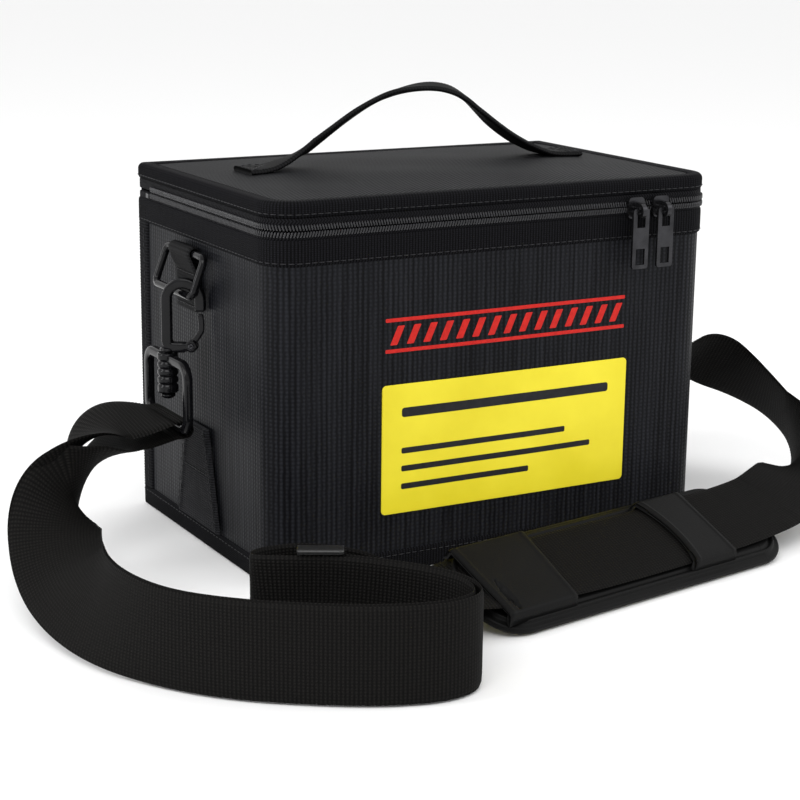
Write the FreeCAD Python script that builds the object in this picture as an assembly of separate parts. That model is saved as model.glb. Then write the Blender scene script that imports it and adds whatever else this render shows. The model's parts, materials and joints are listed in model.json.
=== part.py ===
import FreeCAD, Part
import math
import os

# A fire-resistant carry bag for model-aircraft batteries: a box of foam-stiffened cloth with a
# zipped lid, a webbing carry handle and a clip-on shoulder strap that lies round it on the floor.
# Millimetres. Origin: middle of the bag's base. +X to the right along the front, +Y to the back.

V = FreeCAD.Vector

# ---- driving dimensions --------------------------------------------------------------------
BAG_W = 222.0
BAG_D = 145.0
BAG_H = 165.0
FRONT_R = 14.0
BACK_R = 2.5
SKIN = 1.2
FOAM = 4.0
LINER = 0.8
ZIP_Z = 153.2
ZIP_GAP = 1.2
COIL_H = 2.0
COIL_PROUD = 1.0
BAND_Z = 138.0
TAPE_Z = 149.4
TAPE = 0.9
BINDING_H = 10.0
ZIP_END_Y = 60.0
LID_RIM_Z = 157.0
CLEAR = 0.4

HALF_W = BAG_W / 2
HALF_D = BAG_D / 2
LOWER_ZIP_TOP = ZIP_Z - ZIP_GAP / 2
UPPER_ZIP_BOTTOM = ZIP_Z + ZIP_GAP / 2
WALL_TOP = TAPE_Z

STRAP_W = 38.0
STRAP_T = 1.4
PLY_GAP = 3.0
WRAP_SHIFT = 0.35
WRAP_TAIL = 4.15

SWIVEL_X = -127.0
SWIVEL_Y = 2.0
HOOK_TURN = 55.0
HOOK_W = 15.0
HOOK_BAR = 4.6
HOOK_TOP = 124.0
HOOK_BASE_Z = 91.0
PIN_R = 0.9
GATE_W = 1.9
GATE_GAP = 1.1
EYE_BOTTOM = 57.0
EYE_TOP = 90.5
EYE_BAR = 4.4
RING_R = 1.7
RING_Y = 9.0
RING_HALF = 20.8
RING_CORNER = 3.2
RING_BOTTOM_Z = 116.7
RING_TOP_Z = 133.5

PAD_CENTRE = (24.5, -130.0)
PAD_TURN = 10.0
PAD_TILT = 24.0
PAD_L = 176.0
PAD_W = 52.0
PAD_T = 5.0

SLIDER_XS = {"left": 66.5, "right": 80.0}
PULL_W = 8.5
PULL_L = 27.0
PULL_T = 1.3
PULL_AXIS_Y = -79.6
PULL_AXIS_Z = 152.0

HANDLE_HALF = 68.0
HANDLE_W = 20.0
HANDLE_T = 3.0
HANDLE_RISE = 32.5
HANDLE_LIFT = 5.0
HANDLE_X = 3.5
HANDLE_Y = 14.0
ANCHOR_L = 20.0
ANCHOR_T = 2.2

FLAP_TOP_W = 24.0
FLAP_BOTTOM_W = 46.0
FLAP_Z = (9.5, 56.0)
FLAP_Y = 3.0
PORT_Y = (-8.0, 14.0)
PORT_Z = (38.0, 46.0)

os.makedirs("parts", exist_ok=True)


def write(shape, node):
    """Write one node's solid, or group of solids, as its own STEP file."""
    shape.exportStep("parts/" + node + ".step")


def box(low, high):
    """A box from its lowest corner to its highest corner."""
    size = [high[i] - low[i] for i in range(3)]
    return Part.makeBox(size[0], size[1], size[2], V(*low))


def plan(inset):
    """The bag's outline on the floor, pulled in by inset: round at the front, sharp at the back."""
    x = HALF_W - inset
    y = HALF_D - inset
    front = max(FRONT_R - inset, 0.6)
    back = max(BACK_R - inset, 0.6)
    diagonal = 1 - math.sqrt(0.5)
    f = front * diagonal
    b = back * diagonal
    edges = [
        Part.LineSegment(V(-x + front, -y, 0), V(x - front, -y, 0)),
        Part.Arc(V(x - front, -y, 0), V(x - f, -y + f, 0), V(x, -y + front, 0)),
        Part.LineSegment(V(x, -y + front, 0), V(x, y - back, 0)),
        Part.Arc(V(x, y - back, 0), V(x - b, y - b, 0), V(x - back, y, 0)),
        Part.LineSegment(V(x - back, y, 0), V(-x + back, y, 0)),
        Part.Arc(V(-x + back, y, 0), V(-x + b, y - b, 0), V(-x, y - back, 0)),
        Part.LineSegment(V(-x, y - back, 0), V(-x, -y + front, 0)),
        Part.Arc(V(-x, -y + front, 0), V(-x + f, -y + f, 0), V(-x + front, -y, 0)),
    ]
    return Part.Wire([edge.toShape() for edge in edges])


def slab(inset, z0, z1):
    """A flat sheet with the bag's outline."""
    sheet = Part.Face(plan(inset)).extrude(V(0, 0, z1 - z0))
    sheet.translate(V(0, 0, z0))
    return sheet


def ring(outer, inner, z0, z1):
    """A wall that follows the bag's outline, from inset outer to inset inner."""
    return slab(outer, z0, z1).cut(slab(inner, z0, z1))


def three_sides(outer, inner, z0, z1, end_y):
    """The part of a wall ring on the front and the two sides."""
    return ring(outer, inner, z0, z1).common(box((-150, -100, z0), (150, end_y, z1)))


def oriented(shape, origin, x_dir, y_dir):
    """Move a shape drawn on X and Y to an origin with the two given directions."""
    z_dir = x_dir.cross(y_dir)
    turn = FreeCAD.Rotation(x_dir, y_dir, z_dir, "XYZ")
    shape.Placement = FreeCAD.Placement(origin, turn).multiply(shape.Placement)
    return shape


def rounded_rectangle(x0, y0, x1, y1, radius):
    """A flat rounded rectangle, as a face on Z = 0."""
    plate = box((x0, y0, 0), (x1, y1, 1))
    uprights = [edge for edge in plate.Edges if abs(edge.tangentAt(edge.FirstParameter).z) > 0.9]
    plate = plate.makeFillet(radius, uprights)
    return [face for face in plate.Faces if face.CenterOfMass.z < 0.01][0]


def mirrored(shape):
    """The same piece on the bag's right side."""
    return shape.mirror(V(0, 0, 0), V(1, 0, 0))


# ---- the bag's body ------------------------------------------------------------------------
def port_hole():
    """The slot through the left wall where a charging lead passes."""
    return box((-HALF_W - 5, PORT_Y[0], PORT_Z[0]), (-HALF_W + 15, PORT_Y[1], PORT_Z[1]))


def body_panels():
    wall = three_sides(0, SKIN, SKIN, WALL_TOP, HALF_D - SKIN)
    write(wall.cut(port_hole()), "wall_wrap")
    back = ring(0, SKIN, SKIN, BAND_Z + 10).common(box((-150, HALF_D - SKIN, 0), (150, 80, 160)))
    write(back, "back_panel")
    write(slab(0, 0, SKIN), "base_panel")


def foam_boards():
    """Flat stiffener boards between the skin and the liner, with soft corners between them."""
    x = HALF_W - SKIN
    y = HALF_D - SKIN
    low = SKIN
    high = WALL_TOP - 1
    edge = FRONT_R + 1
    write(box((-x, -y, low), (x, y, low + FOAM)).common(slab(SKIN, low, low + FOAM)), "foam_base")
    low = low + FOAM
    write(box((-HALF_W + edge, -y, low), (HALF_W - edge, -y + FOAM, high)), "foam_front")
    write(box((-HALF_W + 6, y - FOAM, low), (HALF_W - 6, y, high)), "foam_back")
    left = box((-x, -HALF_D + edge, low), (-x + FOAM, HALF_D - 6, high))
    write(mirrored(left), "foam_right")
    write(left.cut(port_hole()), "foam_left")


def inner_liner():
    outer = SKIN + FOAM
    tub = slab(outer, SKIN + FOAM, WALL_TOP - 1)
    tub = tub.cut(slab(outer + LINER, SKIN + FOAM + LINER, WALL_TOP))
    write(tub.cut(port_hole()), "inner_liner")


def body_tapes():
    write(ring(-TAPE, 0, 0, BINDING_H), "bottom_binding")
    side = 11.0
    corner = ring(-TAPE, 0, BINDING_H, BAND_Z)
    right = corner.common(box((HALF_W - side, HALF_D - side, 0), (HALF_W + 5, HALF_D + 5, BAND_Z)))
    write(right, "back_right_binding")
    write(mirrored(right), "back_left_binding")
    write(three_sides(-1.0, 0, BAND_Z, TAPE_Z, HALF_D), "top_band")
    hinge = ring(-1.0, 0, BAND_Z, ZIP_Z - 1).common(box((-HALF_W - 1, HALF_D, 0), (HALF_W + 1, 80, 160)))
    write(hinge, "hinge_strip")


def zip_half(z0, z1, coil_z0, names):
    """A zip tape with its coil, which stands proud along the edge that meets the other half."""
    write(three_sides(-0.6, SKIN, z0, z1, ZIP_END_Y), names[0])
    coil = three_sides(-0.6 - COIL_PROUD, -0.6, coil_z0, coil_z0 + COIL_H, ZIP_END_Y - 4)
    write(coil, names[1])


def zip_end_stops():
    """A small moulded stop over the lower coil's two ends."""
    y = ZIP_END_Y - 3.6
    z = LOWER_ZIP_TOP - COIL_H
    stop = box((-HALF_W - 1.9, y, z), (-HALF_W - 0.6, y + 3, LOWER_ZIP_TOP))
    write(Part.makeCompound([stop, mirrored(stop)]), "zip_end_stops")


# ---- front patch and motif -----------------------------------------------------------------
def front_prints():
    y = -HALF_D
    write(box((-60, y - 0.5, 26.5), (66.5, y, 84)), "front_patch")
    bars = [box((-58.5, y - 0.4, 98), (64.5, y, 101)), box((-58.5, y - 0.4, 110), (64.5, y, 113))]
    write(Part.makeCompound(bars), "front_motif")


# ---- cable port flap -----------------------------------------------------------------------
def port_flap():
    """A tapered webbing flap that closes the cable port, hinged along its bottom edge."""
    low, high = FLAP_Z
    corners = [
        V(0, FLAP_Y - FLAP_BOTTOM_W / 2, low),
        V(0, FLAP_Y + FLAP_BOTTOM_W / 2, low),
        V(0, FLAP_Y + FLAP_TOP_W / 2, high),
        V(0, FLAP_Y - FLAP_TOP_W / 2, high),
    ]
    flap = Part.Face(Part.makePolygon(corners + corners[:1])).extrude(V(-2.2, 0, 0))
    flap.translate(V(-HALF_W - TAPE - CLEAR, 0, 0))
    write(flap, "port_flap")
    fuzz = box((-HALF_W - 1.0, FLAP_Y - 9, 50), (-HALF_W, FLAP_Y + 9, 54.5))
    write(fuzz, "port_flap_fastener")


# ---- D-rings and their tabs ----------------------------------------------------------------
def ring_wire():
    """The ring's centre line: a rounded loop that leans out from the wall towards its bottom."""
    top = V(-HALF_W - 3.6, RING_Y, RING_TOP_Z)
    throat = HOOK_W / 2 * math.sin(math.radians(HOOK_TURN))
    bottom = V(SWIVEL_X + throat, RING_Y, RING_BOTTOM_Z)
    down = bottom - top
    height = down.Length
    face = rounded_rectangle(-RING_HALF, -height, RING_HALF, 0, RING_CORNER)
    return oriented(face, top, V(0, 1, 0), (top - bottom).normalize())


def side_ring():
    loop = ring_wire().OuterWire
    edge = loop.Edges[0]
    start = edge.valueAt(edge.FirstParameter)
    section = Part.Wire(Part.makeCircle(RING_R, start, edge.tangentAt(edge.FirstParameter)))
    wire = Part.Wire(loop.OrderedEdges)
    metal = wire.makePipeShell([section], True, False)
    return Part.Solid(metal) if metal.ShapeType == "Shell" else metal


def ring_tab():
    """Webbing sewn to the wall and folded over the ring's top bar."""
    width = 24.0
    y0 = RING_Y + 2 - width / 2
    x = -HALF_W
    fold_x = x - 3.6
    outer = RING_R + 1.9
    inner = RING_R + 0.1
    fold = Part.makeCylinder(outer, width, V(fold_x, y0, RING_TOP_Z), V(0, 1, 0))
    bore = Part.makeCylinder(inner, width, V(fold_x, y0, RING_TOP_Z), V(0, 1, 0))
    tail = box((x - 1.7, y0, RING_TOP_Z - 26), (x, y0 + width, RING_TOP_Z))
    cover = box((x - 3.4, y0, RING_TOP_Z - 26), (x - 1.7, y0 + width, RING_TOP_Z - 24))
    tab = fold.fuse(tail).cut(bore)
    tab = tab.fuse(cover).removeSplitter()
    keep = box((x - 20, y0, RING_TOP_Z - 30), (x, y0 + width, RING_TOP_Z + 10))
    return tab.common(keep)


# ---- snap hooks ----------------------------------------------------------------------------
def hook_frame_axes():
    turn = math.radians(HOOK_TURN)
    across = V(math.sin(turn), -math.cos(turn), 0)
    return across, V(0, 0, 1)


def hook_plate(face):
    """A flat face drawn on X (across the hook) and Y (up), made a plate in the hook's plane."""
    plate = face.extrude(V(0, 0, HOOK_BAR))
    plate.translate(V(0, 0, -HOOK_BAR / 2))
    across, up = hook_frame_axes()
    return oriented(plate, V(SWIVEL_X, SWIVEL_Y, 0), across, up)


def hook_body():
    """Spine, arch and nose in one bent bar, with a foot that carries the gate."""
    half = HOOK_BAR / 2
    arch_z = HOOK_TOP - half - HOOK_W / 2
    nose_z = arch_z - 5
    outer = HOOK_W / 2 + half
    inner = HOOK_W / 2 - half
    mid = HOOK_W / 2
    foot = HOOK_BASE_Z
    edges = [
        Part.LineSegment(V(-half, foot, 0), V(-half, arch_z, 0)),
        Part.Arc(V(-half, arch_z, 0), V(mid, arch_z + outer, 0), V(HOOK_W + half, arch_z, 0)),
        Part.LineSegment(V(HOOK_W + half, arch_z, 0), V(HOOK_W + half, nose_z, 0)),
        Part.LineSegment(V(HOOK_W + half, nose_z, 0), V(HOOK_W - half, nose_z, 0)),
        Part.LineSegment(V(HOOK_W - half, nose_z, 0), V(HOOK_W - half, arch_z, 0)),
        Part.Arc(V(HOOK_W - half, arch_z, 0), V(mid, arch_z + inner, 0), V(half, arch_z, 0)),
        Part.LineSegment(V(half, arch_z, 0), V(half, foot + 4, 0)),
        Part.LineSegment(V(half, foot + 4, 0), V(HOOK_W - 6, foot + 4, 0)),
        Part.LineSegment(V(HOOK_W - 6, foot + 4, 0), V(HOOK_W - 6, foot, 0)),
        Part.LineSegment(V(HOOK_W - 6, foot, 0), V(-half, foot, 0)),
    ]
    plate = hook_plate(Part.Face(Part.Wire([edge.toShape() for edge in edges])))
    ears = []
    for side in (-1, 1):
        ear = Part.makeCylinder(2.6, 1.2, V(HOOK_W - 4, foot + 2.6, side * half - (0.6 + side * 0.6)))
        web = box((HOOK_W - 8, foot, side * half - 0.6 - side * 0.6),
                  (HOOK_W - 4, foot + 4, side * half + 0.6 - side * 0.6))
        across, up = hook_frame_axes()
        ears.append(oriented(ear.fuse(web), V(SWIVEL_X, SWIVEL_Y, 0), across, up))
    stem = Part.makeCylinder(2.0, foot - 71, V(SWIVEL_X, SWIVEL_Y, 71))
    rivet = Part.makeCylinder(3.2, 2.0, V(SWIVEL_X, SWIVEL_Y, 70))
    return plate.fuse(ears + [stem, rivet]).removeSplitter().cut(gate_pin(PIN_R))


def gate_pin(radius):
    """The pin through the two ears that the gate turns on."""
    pin = Part.makeCylinder(radius, HOOK_BAR, V(HOOK_W - 4, HOOK_BASE_Z + 2.6, -HOOK_BAR / 2))
    across, up = hook_frame_axes()
    return oriented(pin, V(SWIVEL_X, SWIVEL_Y, 0), across, up)


def hook_gate():
    """The sprung gate: a thin curved lever from the foot up to the inside of the nose."""
    half = HOOK_BAR / 2
    tip_z = HOOK_TOP - half - HOOK_W / 2 - 5 - GATE_GAP
    root = V(HOOK_W - 4, HOOK_BASE_Z + 2.6, 0)
    lever_w = 1.8
    bulge = 1.2
    mid_z = (root.y + tip_z) / 2
    outer_x = HOOK_W + 1.4
    edges = [
        Part.LineSegment(V(root.x + 1, root.y + 1, 0), V(root.x - 1, root.y + 1.6, 0)),
        Part.Arc(V(root.x - 1, root.y + 1.6, 0), V(outer_x - lever_w - 0.6, mid_z, 0),
                 V(outer_x - lever_w - bulge, tip_z, 0)),
        Part.LineSegment(V(outer_x - lever_w - bulge, tip_z, 0), V(outer_x, tip_z, 0)),
        Part.Arc(V(outer_x, tip_z, 0), V(outer_x + 0.4, mid_z, 0), V(root.x + 1, root.y + 1, 0)),
    ]
    lever = Part.Face(Part.Wire([edge.toShape() for edge in edges])).extrude(V(0, 0, GATE_W))
    lever.translate(V(0, 0, -GATE_W / 2))
    knuckle = Part.makeCylinder(2.0, GATE_W, V(root.x, root.y, -GATE_W / 2))
    bore = Part.makeCylinder(PIN_R + 0.06, 6, V(root.x, root.y, -3))
    across, up = hook_frame_axes()
    gate = lever.fuse(knuckle).cut(bore).removeSplitter()
    return oriented(gate, V(SWIVEL_X, SWIVEL_Y, 0), across, up)


def swivel_eye():
    """The loop that holds the webbing, with a grooved barrel that turns on the hook's stem."""
    face = rounded_rectangle(-24, EYE_BOTTOM, 24, EYE_TOP, 7.5)
    slot = rounded_rectangle(-20, EYE_BOTTOM + EYE_BAR, 20, EYE_TOP - 5, 1.2)
    loop = face.cut(slot).extrude(V(0, 0, 4.0))
    loop.translate(V(0, 0, -2.0))
    loop = oriented(loop, V(SWIVEL_X, SWIVEL_Y, 0), V(0, 1, 0), V(0, 0, 1))
    barrel = Part.makeCylinder(4.6, EYE_TOP - 72.6, V(SWIVEL_X, SWIVEL_Y, 72.6))
    eye = loop.fuse(barrel)
    for z in (76.5, 80.0, 83.5):
        groove = Part.makeTorus(5.0, 0.8, V(SWIVEL_X, SWIVEL_Y, z))
        eye = eye.cut(groove)
    eye = eye.cut(Part.makeCylinder(2.06, 30, V(SWIVEL_X, SWIVEL_Y, 66)))
    return eye.removeSplitter()


def strap_wrap():
    """Webbing round the eye's bottom bar, open towards the strap."""
    bar_z = EYE_BOTTOM + EYE_BAR / 2
    inner = EYE_BAR / 2 + 0.6
    outer = inner + STRAP_T
    turn = SWIVEL_X + WRAP_SHIFT
    tail = WRAP_TAIL
    low = SWIVEL_Y - STRAP_W / 2
    size = V(0, STRAP_W, 0)
    edges = [
        Part.LineSegment(V(turn - tail, low, bar_z + outer), V(turn, low, bar_z + outer)),
        Part.Arc(V(turn, low, bar_z + outer), V(turn + outer, low, bar_z), V(turn, low, bar_z - outer)),
        Part.LineSegment(V(turn, low, bar_z - outer), V(turn - tail, low, bar_z - outer)),
        Part.LineSegment(V(turn - tail, low, bar_z - outer), V(turn - tail, low, bar_z - inner)),
        Part.LineSegment(V(turn - tail, low, bar_z - inner), V(turn, low, bar_z - inner)),
        Part.Arc(V(turn, low, bar_z - inner), V(turn + inner, low, bar_z), V(turn, low, bar_z + inner)),
        Part.LineSegment(V(turn, low, bar_z + inner), V(turn - tail, low, bar_z + inner)),
        Part.LineSegment(V(turn - tail, low, bar_z + inner), V(turn - tail, low, bar_z + outer)),
    ]
    return Part.Face(Part.Wire([edge.toShape() for edge in edges])).extrude(size)


# ---- shoulder strap ------------------------------------------------------------------------
WRAP_Z = EYE_BOTTOM + EYE_BAR / 2
WRAP_OUT = EYE_BAR / 2 + 0.6 + STRAP_T / 2
WRAP_X = SWIVEL_X + WRAP_SHIFT - WRAP_TAIL

# Centre line of the strap's long ply, and the direction of its width, from the left hook's eye
# down to the floor, along the front, back on itself, through the pad and up to the right hook.
LONG_PLY = [
    ((WRAP_X, 2, WRAP_Z + WRAP_OUT), (0, 1, 0)),
    ((-143.5, 2, 63), (0.1, 0.9, 0.2)),
    ((-160.5, 2, 61), (0.35, 0.85, 0.2)),
    ((-176.5, -5, 50), (0.45, 0.85, -0.15)),
    ((-188.5, -18, 37), (0.8, 0.5, -0.2)),
    ((-195.5, -38, 26), (1, 0, 0.1)),
    ((-200.5, -64, 19), (0.9, -0.1, 0.45)),
    ((-203.5, -93, 19.2), (0.6, -0.05, 0.8)),
    ((-201.5, -122, 20), (0.25, 0, 0.95)),
    ((-191.5, -148, 20), (0, 0, 1)),
    ((-174.5, -169, 20), (0, 0, 1)),
    ((-152.5, -186, 20), (0, 0, 1)),
    ((-127.5, -201, 20), (0, 0, 1)),
    ((-103.5, -208, 20), (0, 0, 1)),
    ((-88.5, -202, 20), (0, 0, 1)),
    ((-87.5, -184, 20), (0, 0, 1)),
    ((-101.5, -166, 21), (0, 0, 1)),
    ((-121.5, -151, 22.5), (0, 0, 1)),
    ((-140.5, -141, 22.5), (0, 0, 1)),
    ((-149.5, -131, 21), (0, 0, 1)),
    ((-141.5, -121, 20), (0, 0, 1)),
    ((-119.5, -121, 20), (0, -0.15, 1)),
    ((-95.5, -132, 19.5), (0, -0.5, 0.8)),
]
RIGHT_RISE = [
    ((143.5, -101, 21), (-0.15, -0.95, -0.3)),
    ((172.5, -77, 22), (-0.45, -0.85, 0.1)),
    ((188.5, -52, 30), (-0.4, -0.88, 0.25)),
    ((189.5, -33, 41), (-0.3, -0.82, 0.45)),
    ((181.5, -17, 51), (-0.1, -0.75, 0.6)),
    ((168, -5, 60), (0.1, -0.6, 0.8)),
    ((148.5, 2, 63), (0, -0.9, 0.4)),
    ((-WRAP_X, 2, WRAP_Z + WRAP_OUT), (0, -1, 0)),
]
# The short ply hangs below the long one at the hook, then lies against it up to the adjuster.
SHORT_PLY_DROP = [
    ((WRAP_X, 2, WRAP_Z - WRAP_OUT), (0, 1, 0)),
    ((-143.5, 2, 55.2), (0.1, 0.95, 0.1)),
    ((-160.5, -3, 49), (0.3, 0.9, 0.05)),
    ((-174.5, -13, 41), (0.66, 0.66, -0.2)),
]
SHORT_PLY_FROM = 4
SHORT_PLY_TO = 17
WIDE_GAPS = {4: 6.0, 5: 5.0, 6: 4.0}


def pad_axes():
    """Directions along the pad, across it, and out of its upper face."""
    turn = math.radians(PAD_TURN)
    tilt = math.radians(PAD_TILT)
    along = V(math.cos(turn), math.sin(turn), 0)
    across = V(-math.sin(turn) * math.cos(tilt), math.cos(turn) * math.cos(tilt), math.sin(tilt))
    return along, across, along.cross(across)


def pad_point(along_by, out_by):
    along, across, out = pad_axes()
    rest = V(PAD_CENTRE[0], PAD_CENTRE[1], PAD_W / 2 * math.sin(math.radians(PAD_TILT)) + 0.3)
    return rest + along * along_by + out * out_by


PAD_STRAP_OUT = PAD_T + 0.9 + STRAP_T / 2


def long_route():
    """The long ply's whole route; the stretch in the pad is one straight run."""
    across = pad_axes()[1] * -1
    held = [(pad_point(-PAD_L / 2 - 10, PAD_STRAP_OUT), across),
            (pad_point(PAD_L / 2 - 4, PAD_STRAP_OUT), across)]
    listed = [(V(*p), V(*w)) for p, w in LONG_PLY]
    rise = [(V(*p), V(*w)) for p, w in RIGHT_RISE]
    return listed + held + rise


def short_route():
    """The short ply: its own drop from the hook, then the long ply's points moved outwards."""
    long = long_route()
    route = [(V(*p), V(*w)) for p, w in SHORT_PLY_DROP]
    for i in range(SHORT_PLY_FROM, SHORT_PLY_TO + 1):
        heading = (long[i + 1][0] - long[i - 1][0]).normalize()
        outwards = heading.cross(long[i][1]).normalize()
        route.append((long[i][0] + outwards * WIDE_GAPS.get(i, PLY_GAP), long[i][1]))
    return route


def stations(route, name):
    """Straight runs joined by tangent arcs: a list of (centre, heading, width direction)."""
    result = [(route[0][0], (route[1][0] - route[0][0]).normalize(), route[0][1])]
    length = 0
    radii = []
    for (before, width_before), (here, width), (after, width_after) in zip(route, route[1:], route[2:]):
        arriving = here - before
        leaving = after - here
        reach = 0.45 * min(arriving.Length, leaving.Length)
        width_in = width + (width_before - width) * (reach / arriving.Length)
        width_out = width + (width_after - width) * (reach / leaving.Length)
        arriving.normalize()
        leaving.normalize()
        half_turn = arriving.getAngle(leaving) / 2
        radius = reach / math.tan(half_turn)
        radii.append(round(radius, 1))
        start = here - arriving * reach
        end = here + leaving * reach
        inward = (start + end) * 0.5 - here
        sagitta = radius * (1 / math.cos(half_turn) - 1)
        middle = here + inward.normalize() * sagitta
        length += (start - result[-1][0]).Length + radius * 2 * half_turn
        result.append((start, arriving, width_in))
        result.append((middle, (end - start).normalize(), width))
        result.append((end, leaving, width_out))
    last, width = route[-1]
    length += (last - result[-1][0]).Length
    result.append((last, (last - route[-2][0]).normalize(), width))
    print(name, "length", round(length, 1), "arc radii", radii)
    return result


def section(centre, heading, width):
    """The four corners of the webbing's cross-section, square to its heading."""
    side = (width - heading * width.dot(heading)).normalize() * (STRAP_W / 2)
    face = heading.cross(side).normalize() * (STRAP_T / 2)
    return [centre + side + face, centre + side - face, centre - side - face, centre - side + face]


def triangle(a, b, c):
    return Part.Face(Part.makePolygon([a, b, c, a]))


def ribbon(listed, node):
    """A closed solid of webbing: flat triangles between the sections at its stations."""
    rows = [section(centre, heading, width) for centre, heading, width in listed]
    first = rows[0]
    last = rows[-1]
    faces = [triangle(first[0], first[2], first[1]), triangle(first[0], first[3], first[2]),
             triangle(last[0], last[1], last[2]), triangle(last[0], last[2], last[3])]
    for row, following in zip(rows, rows[1:]):
        for i, j in ((0, 1), (1, 2)):
            faces.append(triangle(row[i], row[j], following[j]))
            faces.append(triangle(row[i], following[j], following[i]))
        for i, j in ((2, 3), (3, 0)):
            faces.append(triangle(row[i], row[j], following[i]))
            faces.append(triangle(row[j], following[j], following[i]))
    shell = Part.makeShell(faces)
    shell.sewShape()
    solid = Part.makeSolid(shell)
    if solid.Volume < 0:
        solid.reverse()
    length = sum((b[0] - a[0]).Length for a, b in zip(listed, listed[1:]))
    expected = length * STRAP_W * STRAP_T
    print(node, "volume", round(solid.Volume), "section x length", round(expected), solid.isValid())
    write(solid, node)


def split(listed, cuts, names):
    """Cut a list of stations into nodes that meet face to face."""
    ends = [0] + [3 * cut - 1 for cut in cuts] + [len(listed) - 1]
    for a, b, name in zip(ends, ends[1:], names):
        ribbon(listed[a:b + 1], name)


def shoulder_strap():
    long_list = stations(long_route(), "long ply")
    names = ["strap_left_rise", "strap_front_run", "strap_back_run", "strap_pad_run", "strap_right_rise"]
    held_from = len(LONG_PLY)
    split(long_list, [9, 15, held_from, held_from + 1], names)
    split(stations(short_route(), "short ply"), [9], ["strap_return_rise", "strap_return_run"])
    write(strap_wrap(), "left_strap_wrap")
    write(mirrored(strap_wrap()), "right_strap_wrap")


def adjuster():
    """A three-bar slide round both plies: two rails above and below, and three cross bars."""
    before = V(*LONG_PLY[17][0])
    after = V(*LONG_PLY[18][0])
    along = (after - before).normalize()
    up = V(0, 0, 1)
    out = along.cross(up)
    centre = before + (after - before) * 0.3
    rail = 2.2
    bars = []
    for side in (-1, 1):
        z = side * (STRAP_W / 2 + 0.4 + rail / 2) - rail / 2
        bars.append(box((-9, z, -1.6), (9, z + rail, 5.6)))
    reach = STRAP_W / 2 + 0.4 + rail
    for x in (-9, -1.2, 6.6):
        bars.append(box((x, -reach, 4.2), (x + 2.4, reach, 5.6)))
    frame = bars[0].multiFuse(bars[1:]).removeSplitter()
    return oriented(frame, centre, along, up)


def shoulder_pad():
    """The pad's base and the two saddles that the strap passes under."""
    along, across, _ = pad_axes()
    rest = pad_point(0, 0)
    half_l = PAD_L / 2
    half_w = PAD_W / 2
    base = rounded_rectangle(-half_l, -half_w, half_l, half_w, 18).extrude(V(0, 0, PAD_T))
    write(oriented(base, rest, along, across), "pad_base")
    strap_side = STRAP_W / 2 + 0.8
    top = PAD_T + STRAP_T + 1.8
    for name, x0, x1 in (("pad_left_bridge", -half_l + 6, -half_l + 45), ("pad_right_bridge", 25, 52)):
        saddle = box((x0, -strap_side - 2.2, PAD_T), (x1, strap_side + 2.2, top + 1.6))
        saddle = saddle.cut(box((x0 - 1, -strap_side, PAD_T), (x1 + 1, strap_side, top)))
        write(oriented(saddle, rest, along, across), name)


# ---- lid -----------------------------------------------------------------------------------
def lid():
    top = BAG_H
    write(slab(SKIN, top - SKIN, top), "lid_top_panel")
    lip = ring(0, SKIN, UPPER_ZIP_BOTTOM, LID_RIM_Z).common(box((-150, ZIP_END_Y, 0), (150, 100, 200)))
    write(ring(0, SKIN, LID_RIM_Z, top).fuse(lip).removeSplitter(), "lid_rim")
    write(slab(SKIN, top - SKIN - FOAM, top - SKIN), "lid_foam")
    write(slab(SKIN, top - SKIN - FOAM - LINER, top - SKIN - FOAM), "lid_liner")
    write(ring(-TAPE, 0, top - 6.5, top), "lid_binding")


def handle_anchor(side):
    """The handle's end on side -1 or 1, folded flat and sewn to the lid with a boxed cross."""
    near = HANDLE_X + side * (HANDLE_HALF + 1.0)
    far = near + side * ANCHOR_L
    y0 = HANDLE_Y - HANDLE_W / 2
    return box((min(near, far), y0, BAG_H), (max(near, far), y0 + HANDLE_W, BAG_H + ANCHOR_T))


def carry_handle():
    """A low arch of doubled webbing between the two anchors."""
    low = BAG_H + HANDLE_LIFT
    outer_half = HANDLE_HALF
    inner_half = HANDLE_HALF - HANDLE_T
    y0 = HANDLE_Y - HANDLE_W / 2
    outer_top = V(0, y0, low + HANDLE_RISE)
    inner_top = V(0, y0, low + HANDLE_RISE - HANDLE_T)
    edges = [
        Part.Arc(V(-outer_half, y0, low), outer_top, V(outer_half, y0, low)),
        Part.LineSegment(V(outer_half, y0, low), V(inner_half, y0, low)),
        Part.Arc(V(inner_half, y0, low), inner_top, V(-inner_half, y0, low)),
        Part.LineSegment(V(-inner_half, y0, low), V(-outer_half, y0, low)),
    ]
    arch = Part.Face(Part.Wire([edge.toShape() for edge in edges])).extrude(V(0, HANDLE_W, 0))
    arch.translate(V(HANDLE_X, 0, 0))
    return arch


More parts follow.
